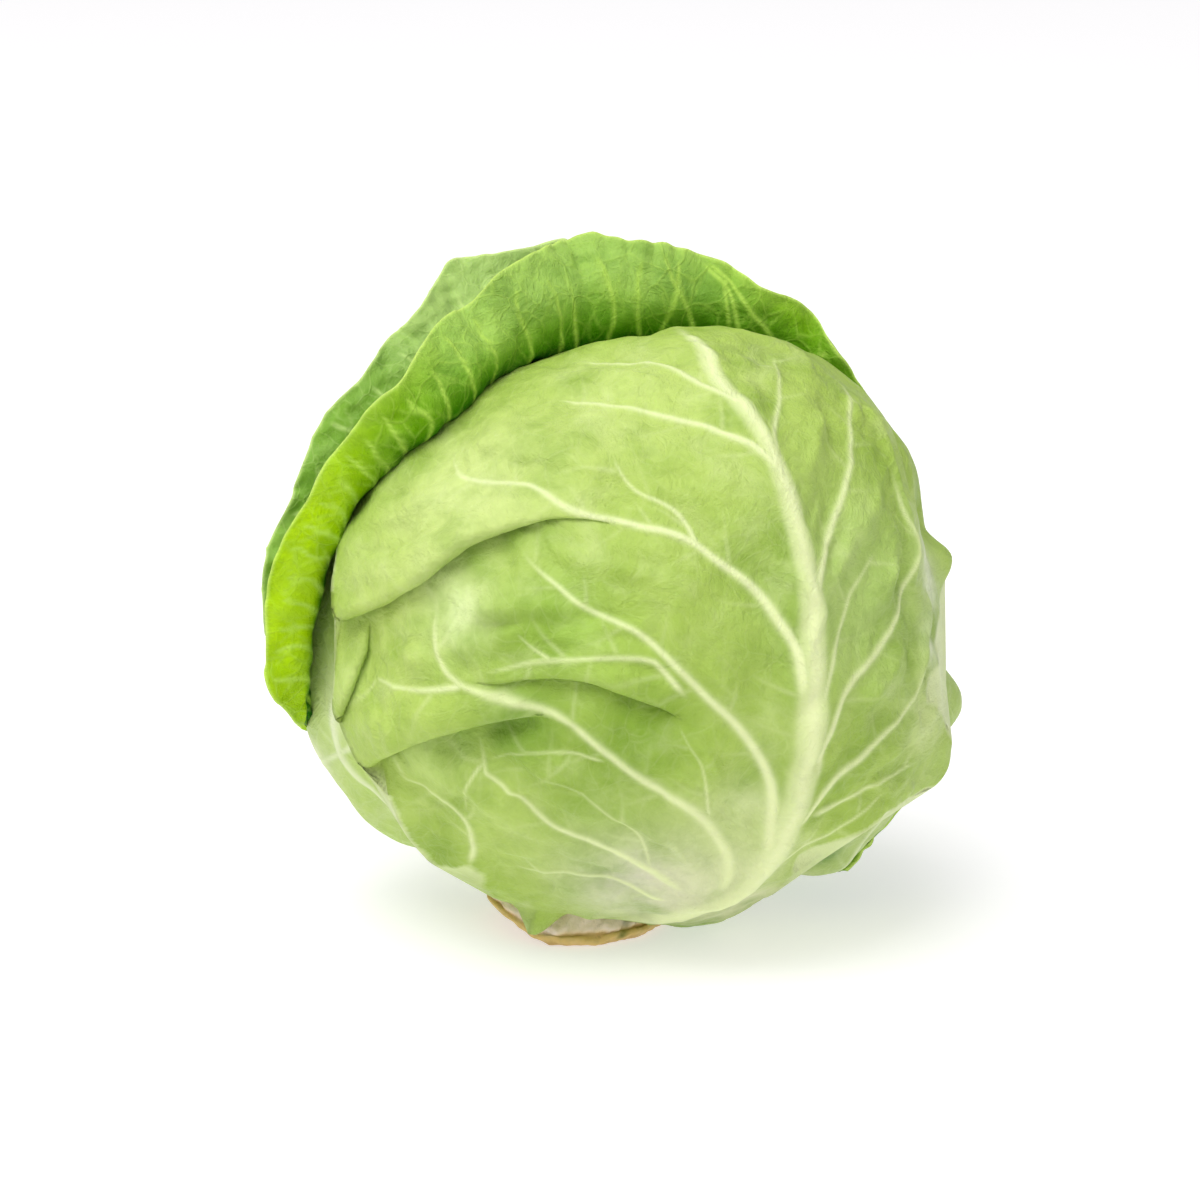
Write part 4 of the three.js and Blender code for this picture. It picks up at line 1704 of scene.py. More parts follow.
HEAD_LEAF_FINISH = LeafFinish(
    "head_leaf_finish", (226, 236, 176), (226, 238, 176), (122, 156, 40), mottle=0.65, net=0.07, shine=0.17,
    relief=0.75,
)
SIDE_LEAF_FINISH = LeafFinish(
    "side_leaf_finish", (226, 236, 190), (206, 226, 150), (150, 182, 78), mottle=0.45, net=0.14, relief=0.75
)
INNER_WRAPPER_FINISH = LeafFinish(
    "inner_wrapper_finish", (182, 216, 92), (206, 236, 120), (48, 108, 0), mottle=0.5, net=0.24,
    net_scale=120.0,
    roughness=0.46, shine=0.07, relief=0.8,
)
OUTER_WRAPPER_FINISH = LeafFinish(
    "outer_wrapper_finish", (196, 222, 132), (212, 236, 150), (120, 164, 66), mottle=0.35, net=0.2,
    roughness=0.5, wax=0.1,
)
HEART_FINISH = LeafFinish("heart_finish", (228, 236, 190), (222, 232, 178), (180, 200, 110), net=0.2)
STEM_FINISH = StemFinish()


# ---- the head's own leaves


def front_edge() -> Array:
    """Directions round the edge of the leaf that covers the front.

    Returns:
        The directions, in order.
    """
    left = [
        (6.4, -77), (1, -73.6), (-3, -71.7), (-10.4, -74.1), (-16, -75.4), (-18.6, -75.5),
    ]
    side = [
        (-28, -71), (-31, -71.5), (-34, -73), (-37.5, -68.8), (-39.8, -64.8), (-42.8, -61.9),
        (-47.8, -61.4), (-52.6, -60.3), (-58.2, -53.9), (-61.6, -48), (-65, -41.6), (-66, -38.8),
        (-62.5, -36.2),
        (-57.5, -33), (-58, -31.6), (-63.5, -33.6), (-68, -34.2), (-72, -31), (-74.8, -27), (-76.6, -21.5),
        (-78.6, -14), (-78.6, -8.5), (-77.6, -3.4), (-75.5, -0.3), (-70, 2), (-65, 4.4),
        (-61.3, 6.4), (-62, 8),
        (-66.5, 6.2), (-70.5, 4.4), (-74, 4.6), (-76, 7), (-77.4, 10.5), (-77.8, 14.5), (-77.6, 21),
        (-76, 28),
    ]
    back = [
        (148, 72), (136, 86), (122, 98), (104, 108), (86, 110), (68, 108), (50, 104), (34, 100),
        (20, 96), (10, 91),
    ]
    right = [
        (82, -3), (81.5, -8.5), (78.6, -14.6), (78.4, -18.9), (81, -22.3), (82.5, -28), (80.2, -37.7),
        (73.6, -44.4), (67, -48.3), (56, -53.4), (46.2, -58.4), (41.7, -61.8), (38.8, -66.9),
    ]
    return np.concatenate([
        HEAD.drawn(left), [HEAD.towards((-12, -28, 4))], HEAD.drawn(side), HEAD.round(*zip(*back)),
        HEAD.drawn(right), [HEAD.towards((36, 6, 1))], HEAD.foot(np.linspace(8, -48, 8), 19.6),
    ])


def front_lift(directions: Array) -> Array:
    """How far the front leaf stands off the head: a swollen midrib, and a flap over the stem.

    Args:
        directions: Unit directions.

    Returns:
        The lift of each.
    """
    line = unit(evenly(HEAD.drawn(MIDRIB) * HEAD.ball, 2.0)) * HEAD.ball
    near = beside(line, directions * HEAD.ball, 26)
    width = 10 + (5.5 - 10) * near.fraction
    swollen = (4.4 + (1.4 - 4.4) * np.sqrt(near.fraction)) * np.exp(-((near.distance / width) ** 2))
    height = np.zeros(len(directions))
    height[near.index] = swollen * smooth(directions[near.index] @ HEAD.near, -0.25, 0.1)
    flap = HEAD.hump(directions, HEAD.towards((-12, -28, 4)), 3.6)
    back = 6.0 * HEAD.hump(directions, HEAD.round(13, 89), 4.5)
    return height + 8 * flap + back - 3.8 * slimmer(directions)


def fan_edge(
    bearings: Drawn, foot_angle: float, belly: Drawn, rim: Array, pull: float = 0.7
) -> Array:
    """Directions round the edge of a side leaf that fans out from the stem.

    Args:
        bearings: World bearings round the foot's arc.
        foot_angle: How far the foot stands off the stem's axis, in degrees.
        belly: Clocks and tilts at the widest part.
        rim: Directions along the rim.
        pull: How strongly the belly draws the edge.

    Returns:
        The directions, in order.
    """
    def line(run: Array, turn: Array) -> Array:
        """Directions along a part of the edge."""
        return fan_directions(bearings, foot_angle, HEAD.round(*belly), pull, rim, run, turn)

    up = np.linspace(0, 1, 16)
    over = np.linspace(0, 1, 40)
    return np.concatenate([
        line(up[:-1], np.zeros(15)), line(np.ones(39), over[:-1]), line(up[:0:-1], np.ones(15)),
        line(np.zeros(39), over[:0:-1]),
    ])


def side_lift(
    directions: Array, shown: Array, open_lift: float, swells: Sequence[tuple[Drawn, float, float]]
) -> Array:
    """How a side leaf drops from its open part to the lap under the front leaf.

    Args:
        directions: Unit directions on the leaf.
        shown: How open the leaf is there, from 0 under the front leaf to 1.
        open_lift: How far the open part stands off the head.
        swells: Rounder places, each a clock and tilt, a spread in degrees and a height.

    Returns:
        How far each place stands off the head.
    """
    lift = -5.4 + (5.4 + open_lift) * shown
    for place, spread, height in swells:
        lift = lift + height * HEAD.hump(directions, HEAD.round(*place), spread)
    return lift


def left_lift(directions: Array) -> Array:
    """How far the left leaf stands off the head."""
    shown = smooth(-directions @ HEAD.near, -0.24, -0.02) * smooth(-directions @ HEAD.across, 0.56, 0.82)
    return side_lift(directions, shown, 0.2, (((180, 93), 11, 4.6), ((200, 92), 8, 3.0)))


def right_lift(directions: Array) -> Array:
    """How far the right leaf stands off the head.

    Args:
        directions: Unit directions.

    Returns:
        The lift of each.
    """
    shown = smooth(-directions @ HEAD.near, -0.2, 0.02) * smooth(directions @ HEAD.across, 0.5, 0.75)
    shown = shown * smooth(-directions @ HEAD.rise, 0.0, 0.2)
    swells = (((-52, 93), 7, 5.4), ((-13, 92), 6, 5.0), ((-31, 92), 8, -3.4))
    return side_lift(directions, shown, -1.4, swells) - 3.0 * slimmer(directions)


MIDRIB: tuple[Drawn, ...] = (
    (24, -67), (32, -61), (39, -49), (44, -33), (45.5, -14), (44.5, 8), (41, 28), (33, 49),
    (20, 67), (8, 80),
)
LARGE = {"width": (1.7, 0.65), "height": (1.3, 0.4), "tone": (0.9, 0.6)}
MAIN = {"width": (1.25, 0.55), "height": (0.95, 0.3), "tone": (0.9, 0.55)}
SMALL = {"width": (0.95, 0.42), "height": (0.55, 0.2), "tone": (0.8, 0.45)}
FINE = {"width": (0.6, 0.35), "height": (0.28, 0.08), "tone": (0.65, 0.3)}

FRONT_VEINS: tuple[Vein, ...] = (
    vein(
        ((6, -76), (14.5, -72)) + MIDRIB, width=(5.6, 1.6), height=(2.0, 0.4), tone=(0.95, 0.85), broad=True
    ),
    vein(((37, 42), (36, 48.5), (36.5, 53.5), (38, 60.5), (37.5, 66), (36.5, 73.5)), **SMALL),
    vein(((44.5, 4), (47.5, 14.5), (52.5, 27.5), (56, 38), (57.5, 49.5), (56.5, 58), (53.5, 67)), **MAIN),
    vein(((46, -22), (48.5, -16.5), (51.5, -5.5), (54, 0.5), (57, 9), (60.5, 15.5), (64, 22)), **SMALL),
    vein((
        (44, -42), (46.5, -37.5), (49, -28), (56, -15), (63.5, -6), (68.5, 3), (71, 10.5), (73.5, 17.5),
        (73, 23), (69, 34), (65.5, 46.5),
    ), **MAIN),
    vein((
        (40, -52), (43, -49.5), (50, -41.5), (61.5, -31.5), (72.5, -20.5), (75.5, -16), (76, -5),
    ), **MAIN),
    vein(((35, -60), (38, -59.5), (47, -55.5), (58.5, -49), (68, -42)), **SMALL),
    vein(((45, -49), (56, -45.5), (64.5, -41.5), (76, -34.5)), **SMALL),
    vein(((30, 55), (27, 57.5), (18, 63.5), (10.5, 67.5), (3.5, 70), (-7, 71), (-16, 70.5)), **MAIN),
    vein(((39, 36), (37, 40), (30, 47), (23, 51), (16.5, 54), (8, 56), (-10, 59.5), (-24, 61)), **MAIN),
    vein((
        (44.5, -24), (43, -19), (41.5, -6), (37.5, 1.5), (31.5, 10.5), (21, 18.5), (12.5, 24),
        (1, 27), (-16, 32),
        (-24, 35.5), (-29, 38), (-38, 38), (-45, 39.5), (-48, 43), (-47.5, 48), (-44, 52.5),
    ), width=(1.4, 0.6), height=(0.8, 0.25)),
    vein(((18, 21), (15.5, 23), (14, 27), (10, 31.5), (1, 36), (-4.5, 42), (-6, 46.5)), **SMALL),
    vein((
        (31.5, -60), (33, -56), (34.5, -49), (35, -40.5), (32, -33), (26, -25), (19.5, -19),
        (12.5, -12), (1, -1.5),
        (-13.5, 5.5), (-20.5, 11), (-26.5, 16), (-31, 21), (-34.5, 24),
    ), width=(1.5, 0.6), height=(0.8, 0.25)),
    vein((
        (20, -67.5), (21.5, -65), (23.5, -60.5), (22.5, -56), (15.5, -48.5), (1, -40), (-10.5, -31),
        (-22, -22),
        (-31, -18.5), (-39.5, -17), (-46.5, -14), (-51.5, -8.5), (-53.5, 0.5), (-53.5, 7.5), (-52, 15),
    ), **LARGE),
    vein(((-44, -15), (-54.5, -16), (-62.5, -15), (-70, -12.5)), **SMALL),
    vein((
        (12, -67), (9.5, -65.5), (1, -61.5), (-7.5, -58), (-16, -54.5), (-24, -50.5), (-30.5, -45),
        (-36, -40.5),
        (-40, -36.5), (-42, -31), (-42.5, -27),
    ), **MAIN),
    vein(((-40.5, -35.5), (-43.5, -41), (-45, -49.5)), **FINE),
    vein(((-7.5, -36), (-16, -33.6), (-25.5, -32.6), (-33.5, -33.4), (-41.5, -36)), **FINE),
    vein((
        (-43, -61.5), (-43, -58), (-44, -53), (-46, -49), (-49.5, -45.5), (-54.5, -43),
        (-60.5, -40.5), (-65, -37.5),
    ), **SMALL),
    vein((
        (8.5, -69.5), (-1.5, -67), (-10.5, -65.5), (-18.5, -64.5), (-27.5, -64.5), (-36, -63.5),
    ), **SMALL),
    vein((
        (4, -63), (1, -54.5), (-6, -49.5), (-12, -45), (-14.5, -43), (-23, -39.5), (-30.5, -35.5),
    ), **FINE),
    vein(((19.5, -51), (18.5, -42), (17, -35.5), (14, -31), (10.5, -24)), **FINE),
    vein((
        (14, -19), (7, -11), (3.7, -8.5), (-5, -7.7), (-16, -8.2), (-26, -8.5), (-35, -10.5), (-42, -12),
    ), **SMALL),
    vein(((-22, -8.4), (-27, -5), (-31, -1)), **FINE),
)

FRONT_FOLDS: tuple[Fold, ...] = (
    Fold((
        (-82, -3), (-76, 0.5), (-68.5, 4.5), (-62, 7.8), (-56.5, 11.2), (-51, 15.6), (-44.5, 20.6),
        (-36, 25), (-27.5, 27.5), (-20, 29), (-12.5, 29), (-6, 28),
    ), strength=((0, 1), (0.5, 1), (0.75, 0.7), (1, 0)), lap=6, rise=3.0, dip=2.4, carry=17, zone=8),
    Fold((
        (-74, -38.5), (-68.5, -36), (-65.5, -34), (-59, -31), (-53.5, -29), (-45, -26.5), (-36, -24.5),
        (-29, -23.5), (-24, -23.5), (-20, -24.5), (-14, -26),
    ), strength=((0, 1), (0.55, 1), (0.78, 0.5), (0.9, 0), (1, 0)),
        lap=5, rise=3.0, dip=1.8, carry=14, zone=7),
    Fold((
        (-44, -14), (-36, -14.5), (-27.5, -13.5), (-19, -13.5), (-10.5, -15), (-4.5, -17), (1, -19),
        (7, -21.5),
        (13, -25),
    ), strength=((0, 0), (0.25, 0.35), (0.55, 1), (0.85, 0.8), (1, 0)),
        lap=3, rise=2.8, dip=2.6, carry=9, zone=5),
    Fold((
        (-77, -30), (-75.4, -23.6), (-73.6, -18), (-72.8, -11.4), (-71.4, -5), (-70.2, 1), (-69.8, 4),
    ), strength=((0, 0.1), (0.25, 0.8), (0.6, 1), (0.85, 0.9), (1, 0)), lap=2.5, rise=2.4, dip=1.2, carry=8,
        zone=4.5),
)

FRONT_CREASES: tuple[Crease, ...] = (
    crease((
        (-66.5, -38.5), (-61.6, -48), (-58.2, -53.9), (-52.6, -60.3), (-47.8, -61.4), (-42.8, -61.9),
        (-38, -68),
    ), 4.5, 2.6, (0.1, 0.1)),
    crease(((-60, -38), (-55, -47), (-50, -53), (-44, -55)), 3.5, -1.25),
    crease(((82, -26), (80, -37), (73, -44), (66, -48.5), (56, -53.5), (47, -58)), 4.5, 2, (0.1, 0.2)),
    crease(((76, -24), (72, -34), (62, -42), (50, -50)), 4, -1.5),
    crease(((-81, 14), (-80.5, 8), (-76, 4), (-70, 5)), 5, 1.6, (0.1, 0.2)),
    crease(((-70, -31), (-66, -36), (-62, -34), (-56, -31)), 5, 1.75),
    crease(((-46, 4.2), (-34, 4.6), (-22, 5.8), (-10, 4.5)), 2.4, 1.36),
    crease(((-44, 0), (-30, 0.5), (-18, 0.5), (-8, -1.5)), 2.4, -1.36),
    crease(((-15, -5.5), (-4, -6), (7, -9), (15, -17)), 2.2, 1.19),
    crease(((-12, -11.5), (0, -12.5), (9, -16), (14, -21)), 2.0, 1.19),
    crease(((-6, -17), (4, -20.5), (12, -24)), 2.2, -1.53),
    crease(((-60, -20), (-52, -22), (-42, -20), (-34, -18)), 3.5, 1.53),
    crease(((-50, 10), (-46, 14), (-40, 17), (-30, 20)), 5, -1.75),
    crease(((-58, -31), (-48, -30.5), (-36, -28.5), (-26, -27)), 4.5, -1.5),
    crease(((56, 64), (65, 50), (69.3, 36), (72.5, 25.5), (73.8, 16), (70.5, 6)), 2.0, 1.62),
    crease(((62, 60), (70, 46), (74, 33), (76.5, 22)), 2.4, -1.5),
    crease(((77, 12), (78.2, 6), (76.8, -1), (75.8, -8.5), (75.6, -16)), 1.8, 2.2),
    crease(((72, 8), (73, 0), (72, -9), (71, -18)), 2.6, -1.25),
    crease(((48, 20), (52, 34), (53, 50), (49, 64)), 6, -1.53),
    crease(((60, 2), (66, 14), (68, 26)), 4, 1.53),
    crease(((58, -20), (66, -12), (72, -3)), 4, 1.53),
    crease(((-24, -44), (-36, -36), (-46, -33)), 3.0, -1.36),
    crease(((-16, -60), (-30, -56), (-42, -52)), 3.2, -1.53),
    crease(((-36, 44), (-22, 42), (-8, 38), (6, 34)), 4.5, -1.53),
    crease(((-40, 50), (-26, 50), (-10, 47)), 4.5, 1.36),
    crease(((-66, 22), (-56, 26), (-46, 30)), 4.5, -1.53),
    crease(((-74, 12), (-62, 16), (-52, 22)), 4.5, 1.53),
    crease(((-75, 9), (-67, 11.5), (-60, 15), (-52, 21)), 1.3, -0.8),
    crease(((-74, 20), (-65, 20), (-56, 24), (-46, 30)), 1.5, -1.0),
    crease(((-70, 27), (-60, 29), (-50, 36)), 1.6, 0.9),
    crease(((-68, 35), (-58, 36), (-48, 42), (-38, 44)), 1.6, -0.9),
    crease(((-60, -2), (-54, -6), (-50, -12)), 1.6, -0.9),
    crease(((-64, -12), (-60, -20), (-58, -27)), 1.8, 1.0),
    crease(((-68, -16), (-65, -23), (-64, -30)), 1.6, -0.9),
    crease(((-52, -44), (-42, -40), (-34, -33)), 1.6, 1.0),
    crease(((-58, -42), (-54, -50), (-50, -57)), 1.4, 1.0),
)

FRONT_ZONES: tuple[Zone, ...] = (
    Zone((60, 10), 34, (168, 194, 106)),
    Zone((77, -24), 11, (202, 217, 148), 0.85),
    # painted sheen: pale silvery zones along the right margin where the blade turns away at the outline
    Zone((80, 14), 9, (218, 226, 186), 0.95),
    Zone((79, 18), 10, (224, 232, 196), 0.95),
    Zone((79, -3), 7, (226, 234, 196), 0.95),
    # painted shade: a small dark zone in the recess under the right margin's fold
    Zone((80, -16), 3, (150, 182, 90), 0.6),
    Zone((-74, -12), 5, (206, 226, 140), 0.8),
    Zone((0, 62), 36, (190, 212, 116), 0.9),
    Zone((-45, 35), 24, (214, 230, 148), 0.9),
    Zone((-62, -4), 18, (190, 212, 110), 0.8),
    Zone((-47, 4), 10, (220, 236, 170), 0.95),
    # painted shade: dark green zones along the underside of the upper-left fold's lip
    Zone((-43, 17), 4.5, (120, 154, 42), 0.7),
    Zone((-33, 22.5), 4.5, (120, 154, 42), 0.7),
    Zone((-24, 24.5), 4, (124, 158, 48), 0.6),
    Zone((-40, -48), 26, (180, 204, 106), 0.8),
    Zone((-14, -46), 12, (140, 172, 62), 0.7),
    # painted shade: dark green zones under the lower fold and below the middle fold
    Zone((-47, -31.5), 5, (120, 156, 52), 0.7),
    Zone((-36, -29), 5, (120, 156, 52), 0.7),
    Zone((-30, -25), 11, (112, 150, 40), 0.9),
    Zone((0, -28), 14, (136, 172, 60), 0.7),
    Zone((-54, -36), 9, (186, 210, 118), 0.8),
    Zone((-20, 2), 15, (150, 186, 76), 0.7),
    Zone((2, -67), 19, (216, 215, 192)),
    Zone((15, -66), 15, (212, 214, 176), 0.95),
    Zone((28, -71), 9, (208, 212, 162), 0.9),
    Zone((14, -75.5), 14, (214, 216, 174)),
    Zone((26, -73.5), 15, (212, 216, 170)),
    Zone((37, -69.5), 12, (204, 214, 154), 0.95),
    Zone((29, -46), 8, (208, 220, 160), 0.9),
    Zone((24, -52), 12, (198, 214, 142), 0.7),
    Zone((30, -62), 13, (208, 219, 160), 0.85),
)


def front_leaf() -> LayingLeaf:
    """The leaf that covers the whole front and closes over the top.

    Returns:
        The leaf.
    """
    branches = twigs(FRONT_VEINS[1:], 11, (9, 21), 0.85, 0.36, 51)
    sprigs = twigs(branches, 8, (4, 9), 0.65, 0.2, 52)
    return LayingLeaf(
        "front_head_leaf", "head_leaf", front_edge(), HEAD.drawn([(38, -4)])[0], (163, 190, 82),
        FRONT_ZONES, FRONT_VEINS + tuple(branches) + tuple(sprigs), FRONT_FOLDS,
        (Swell((4, -69), 13, 2.4), Swell((16, -64), 10, 1.2), Swell((-46, -40), 14, 1.2),
         Swell((80, 3), 5, -2.2), Swell((77, 31), 10, -3.0), Swell((74, -44), 10, -3.6)),
        FRONT_CREASES + tuple(wrinkles(FRONT_VEINS[1:], 4, 1.1, 55)), 1.5, front_lift, seed=11,
    )


LEFT_VEINS: tuple[tuple[Drawn, ...], ...] = (
    ((-64, -22), (-73, -28), (-79.4, -33), (-83, -36), (-86, -40)),
    ((-84, -18), (-83, -27), (-79, -38), (-72, -47), (-63, -55), (-54, -61)),
    ((-56, -32), (-65.3, -39.6), (-71.4, -46.5)),
    ((-52, -42), (-61.9, -49.7), (-66.1, -53.7)),
    ((-68, -6), (-78.6, -11.2), (-82, -14)),
    ((-40, -54), (-50, -60), (-55, -62)),
)
LEFT_ZONES: tuple[Zone, ...] = (
    # painted shade: the left leaf darkened where the bright wrapper's roll overhangs it
    Zone((-80, 6), 15, (140, 178, 76)),
    Zone((-83, -21), 9, (226, 236, 184), 0.9),
    Zone((-82, -34), 8, (226, 236, 186), 0.9),
    # painted shade: the left leaf darkened beside the front leaf's lower-left margin
    Zone((-47, -62), 9, (160, 190, 88)),
    Zone((-74, -47), 6, (198, 216, 132), 0.7),
)
RIGHT_ZONES: tuple[Zone, ...] = (
    Zone((84, -20), 7, (188, 206, 136), 0.8),
    Zone((66, -54), 10, (186, 204, 134), 0.8),
    Zone((18, -74), 11, (208, 213, 168)),
    Zone((30, -73), 11, (206, 212, 162)),
    Zone((41, -68), 7, (200, 210, 146), 0.9),
    # painted shade: near-black green in the pocket between the right leaf and the front leaf
    Zone((53, -63), 6, (60, 112, 0)),
)
RIGHT_VEINS: tuple[tuple[tuple[float, ...], tuple[float, ...]], ...] = (
    ((-75, -60, -45, -30, -14, 4), (120, 108, 102, 98, 97, 100)),
    ((-70, -56, -44, -32, -22), (112, 98, 88, 82, 80)),
    ((-85, -66, -46, -26, -8, 12), (132, 124, 118, 114, 112, 114)),
    ((-100, -80, -56, -30, -6, 16), (140, 138, 133, 128, 126, 126)),
)


def left_leaf() -> LayingLeaf:
    """The pale leaf that shows at the lower left and passes under the front leaf.

    Returns:
        The leaf.
    """
    rim = np.concatenate([
        HEAD.round([244, 222, 200, 178, 160, 150, 148, 158], [120, 126, 128, 124, 112, 96, 78, 62]),
        HEAD.drawn([(-62, 12), (-62, -10), (-54, -32), (-40, -50), (-24, -66)]),
    ])
    edge = fan_edge((150, 252), 18.5, (205, 75), rim)
    stems = [vein(places, **LARGE) for places in LEFT_VEINS]
    branches = twigs(stems, 9, (8, 16), 0.8, 0.36, 53)
    return LayingLeaf(
        "left_head_leaf", "head_leaf", edge, HEAD.round(205, 90), (180, 206, 104), LEFT_ZONES,
        stems + branches,
        puff=0.9, wave=0.35,
        lift=left_lift, lowest=2, seed=21,
    )


def right_leaf() -> LayingLeaf:
    """The pale leaf that shows at the lower right and runs round to the back.

    Returns:
        The leaf.
    """
    rim = HEAD.round(
        [-50, -36, -22, -10, 2, 14, 30, 44, 52, 62], [70, 68, 72, 76, 82, 90, 100, 116, 132, 150]
    )
    edge = fan_edge((2, 62), 18.5, (-20, 100), rim)
    stems = [Vein(HEAD.round(clocks, tilts), **MAIN) for clocks, tilts in RIGHT_VEINS]
    branches = twigs(stems, 9, (8, 18), 0.8, 0.36, 54)
    return LayingLeaf(
        "right_head_leaf", "head_leaf", edge, HEAD.round(-12, 108), (178, 200, 116), RIGHT_ZONES,
        stems + branches,
        puff=1.0, wave=0.35,
        lift=right_lift, lowest=4.4, seed=22,
    )


# ---- the wrapper leaves


def midrib_swell(run: Array, turn: Array, middle: float = 0.5) -> Array:
    """Height of a wrapper's midrib, tapering from the foot to the rim."""
    spread = 0.03 * (1.6 - run)
    return 2.6 * (1 - 0.75 * run) * np.exp(-(((turn - middle) / spread) ** 2))


def edge_wave(run: Array, inward: Array) -> Array:
    """Waves along a wrapper's side edge."""
    return 1.2 * (1 - np.cos(2 * math.pi * 3.5 * run)) * run * (1 - inward) ** 12


def blended(stops: Sequence[tuple[float, tuple[float, float, float]]], value: Array) -> Array:
    """Tints between stops of a value.

    Args:
        stops: Values and their tints, in rising order.
        value: The values to tint.

    Returns:
        One tint for each value.
    """
    at = [stop[0] for stop in stops]
    table = np.array([tint(*stop[1]) for stop in stops])
    return np.stack([np.interp(value, at, table[:, channel]) for channel in range(3)], -1)


def inner_wrapper_paint(run: Array, clock: Array) -> Array:
    """Tints of the bright wrapper: painted shade, nearly black green, in its valley beside the head; bright
    on its roll and lighter at the free edge; a painted grey sheen of its wax bloom where the roll's top
    turns up.

    Args:
        run: Runs from the foot.
        clock: Clock angles.

    Returns:
        One tint for each place.
    """
    # painted shade: the stops round run 0.95 darken the valley where the leaf leaves the head
    stops = (
        (0.0, (188, 204, 132)), (0.35, (150, 186, 78)), (0.75, (116, 160, 44)), (0.95, (8, 84, 0)),
        (1.12, (34, 112, 0)), (1.4, (108, 162, 0)), (1.75, (124, 172, 6)), (2.0, (154, 194, 56)),
    )
    colours = blended(stops, run)
    # painted sheen: the wax bloom's grey reflection laid on the roll's upper part
    top = (smooth(clock, 60, 90) * (1 - smooth(clock, 118, 140)) * smooth(run, 1.2, 1.7))[..., None]
    colours = colours + (tint(166, 200, 105) - colours) * 0.75 * top
    strip = (smooth(clock, 135, 165) * smooth(run, 1.0, 1.3))[..., None]
    colours = colours + (tint(178, 216, 0) - colours) * 0.8 * strip
    right = ((1 - smooth(clock, 52, 72)) * smooth(run, 0.9, 1.1))[..., None]
    return colours + (tint(98, 150, 26) - colours) * 0.7 * right


def outer_wrapper_paint(run: Array, clock: Array) -> Array:
    """Tints of the bloomed wrapper: pale at the foot and grey green towards the edge.

    Args:
        run: Runs from the foot.
        clock: Clock angles.

    Returns:
        One tint for each place.
    """
    stops = (
        (0.0, (208, 218, 168)), (0.4, (176, 202, 122)), (0.9, (140, 176, 78)), (1.3, (158, 192, 98)),
        (2.0, (170, 200, 110)),
    )
    left = (smooth(clock, 126, 144) * smooth(run, 0.8, 1.0))[..., None]
    colours = blended(stops, run)
    return colours + (tint(110, 160, 14) - colours) * 0.85 * left


def back_veins(first: float, last: float, middle: float, foot: float = 0.02) -> list[RollVein]:
    """Veins of a wrapper's outer face: a stout midrib and the side veins that leave it.

    Args:
        first: Clock of the rim's first station.
        last: Clock of its last.
        middle: Clock of the midrib.
        foot: Run where the midrib starts.

    Returns:
        The veins.
    """
    veins = [RollVein(
        ((foot, middle), (0.3, middle), (0.6, middle), (0.9, middle), (1.5, middle), (1.9, middle)),
        (3.0, 0.8), (1.6, 0.3), (0.95, 0.8),
    )]
    draw = np.random.default_rng(int(middle))
    for place, start in enumerate(np.linspace(0.1, 0.78, 8)):
        for side, end in ((-1, first), (1, last)):
            run = start + 0.03 * side + draw.uniform(-0.02, 0.02)
            span = abs(end - middle)
            reach = 0.86 + draw.uniform(-0.08, 0.08)
            bend = [
                (run, middle),
                (run + 0.1, middle + side * 0.13 * span),
                (run + 0.22 + 0.05 * start, middle + side * 0.32 * span),
                (run + 0.34 + 0.1 * start, middle + side * 0.56 * span),
                (min(run + 0.5 + 0.2 * start, 1.7), middle + side * reach * span),
            ]
            runs, clocks = zip(*bend)
            steps = np.linspace(0, np.interp(0.97, runs, range(5)), 5)
            places = zip(np.interp(steps, range(5), runs), np.interp(steps, range(5), clocks))
            veins.append(RollVein(tuple(places), (1.6, 1.1), (0.7, 0.15), (0.85, 0.5)))
    return veins


def roll_veins(lines: Sequence[tuple[float, ...]], end_run: float = 1.96) -> list[RollVein]:
    """Veins that climb a roll, each given by its clocks from the rim to the free edge.

    Args:
        lines: The clocks of each vein.
        end_run: Run where the longest vein ends.

    Returns:
        The veins and their twigs.
    """
    veins = []
    draw = np.random.default_rng(len(lines))
    for line in lines:
        runs = np.linspace(0.9, end_run - draw.uniform(0, 0.15), 5)
        clocks = np.interp(runs, np.linspace(0.9, end_run, len(line)), line) + draw.uniform(-0.9, 0.9, 5)
        veins.append(RollVein(tuple(zip(runs, clocks))))
        for side in (-1, 1):
            start = draw.uniform(1.1, 1.5)
            leave = float(np.interp(start, runs, clocks))
            bend = ((start, leave), (start + 0.18, leave + 1.4 * side), (start + 0.36, leave + 2.3 * side))
            veins.append(RollVein(bend, (0.75, 0.6), (0.2, 0.08), (0.45, 0.3)))
    return veins


A_ROLL = (
    (96, 96.4, 98.3), (90, 90.5, 90.9), (86.5, 85.5, 84.5), (77, 79.9, 84, 86.5),
    (72.5, 73.7, 76.6), (66, 69.9, 73.6, 81),
    (60, 61.2, 66, 71.2, 80), (107, 106, 105.5), (114, 112.5, 111), (121, 119.5, 118),
    (128, 126, 124), (134, 131.5, 129),
    (139, 137, 135), (144, 142, 140), (149, 147, 145), (153, 151, 149.5), (157, 155.5, 154),
    (161, 159.5, 158.5),
    (165, 164, 163), (169, 168, 167), (173, 172, 171.5), (177, 176.5, 176), (181, 180.5, 180),
    (185, 184.5, 184),
    (189, 188.5, 188), (54, 54, 55), (49, 48, 48), (40, 41, 42),
)
B_ROLL = (
    (114, 116, 117), (108, 110, 111), (103, 105, 106), (118, 120, 122), (124, 126, 128), (131, 133, 134),
    (139, 140, 141), (147, 148, 148), (155, 155.5, 156), (163, 163, 163), (171, 170.5, 170),
    (178, 177, 176),
    (184, 183, 182),
)


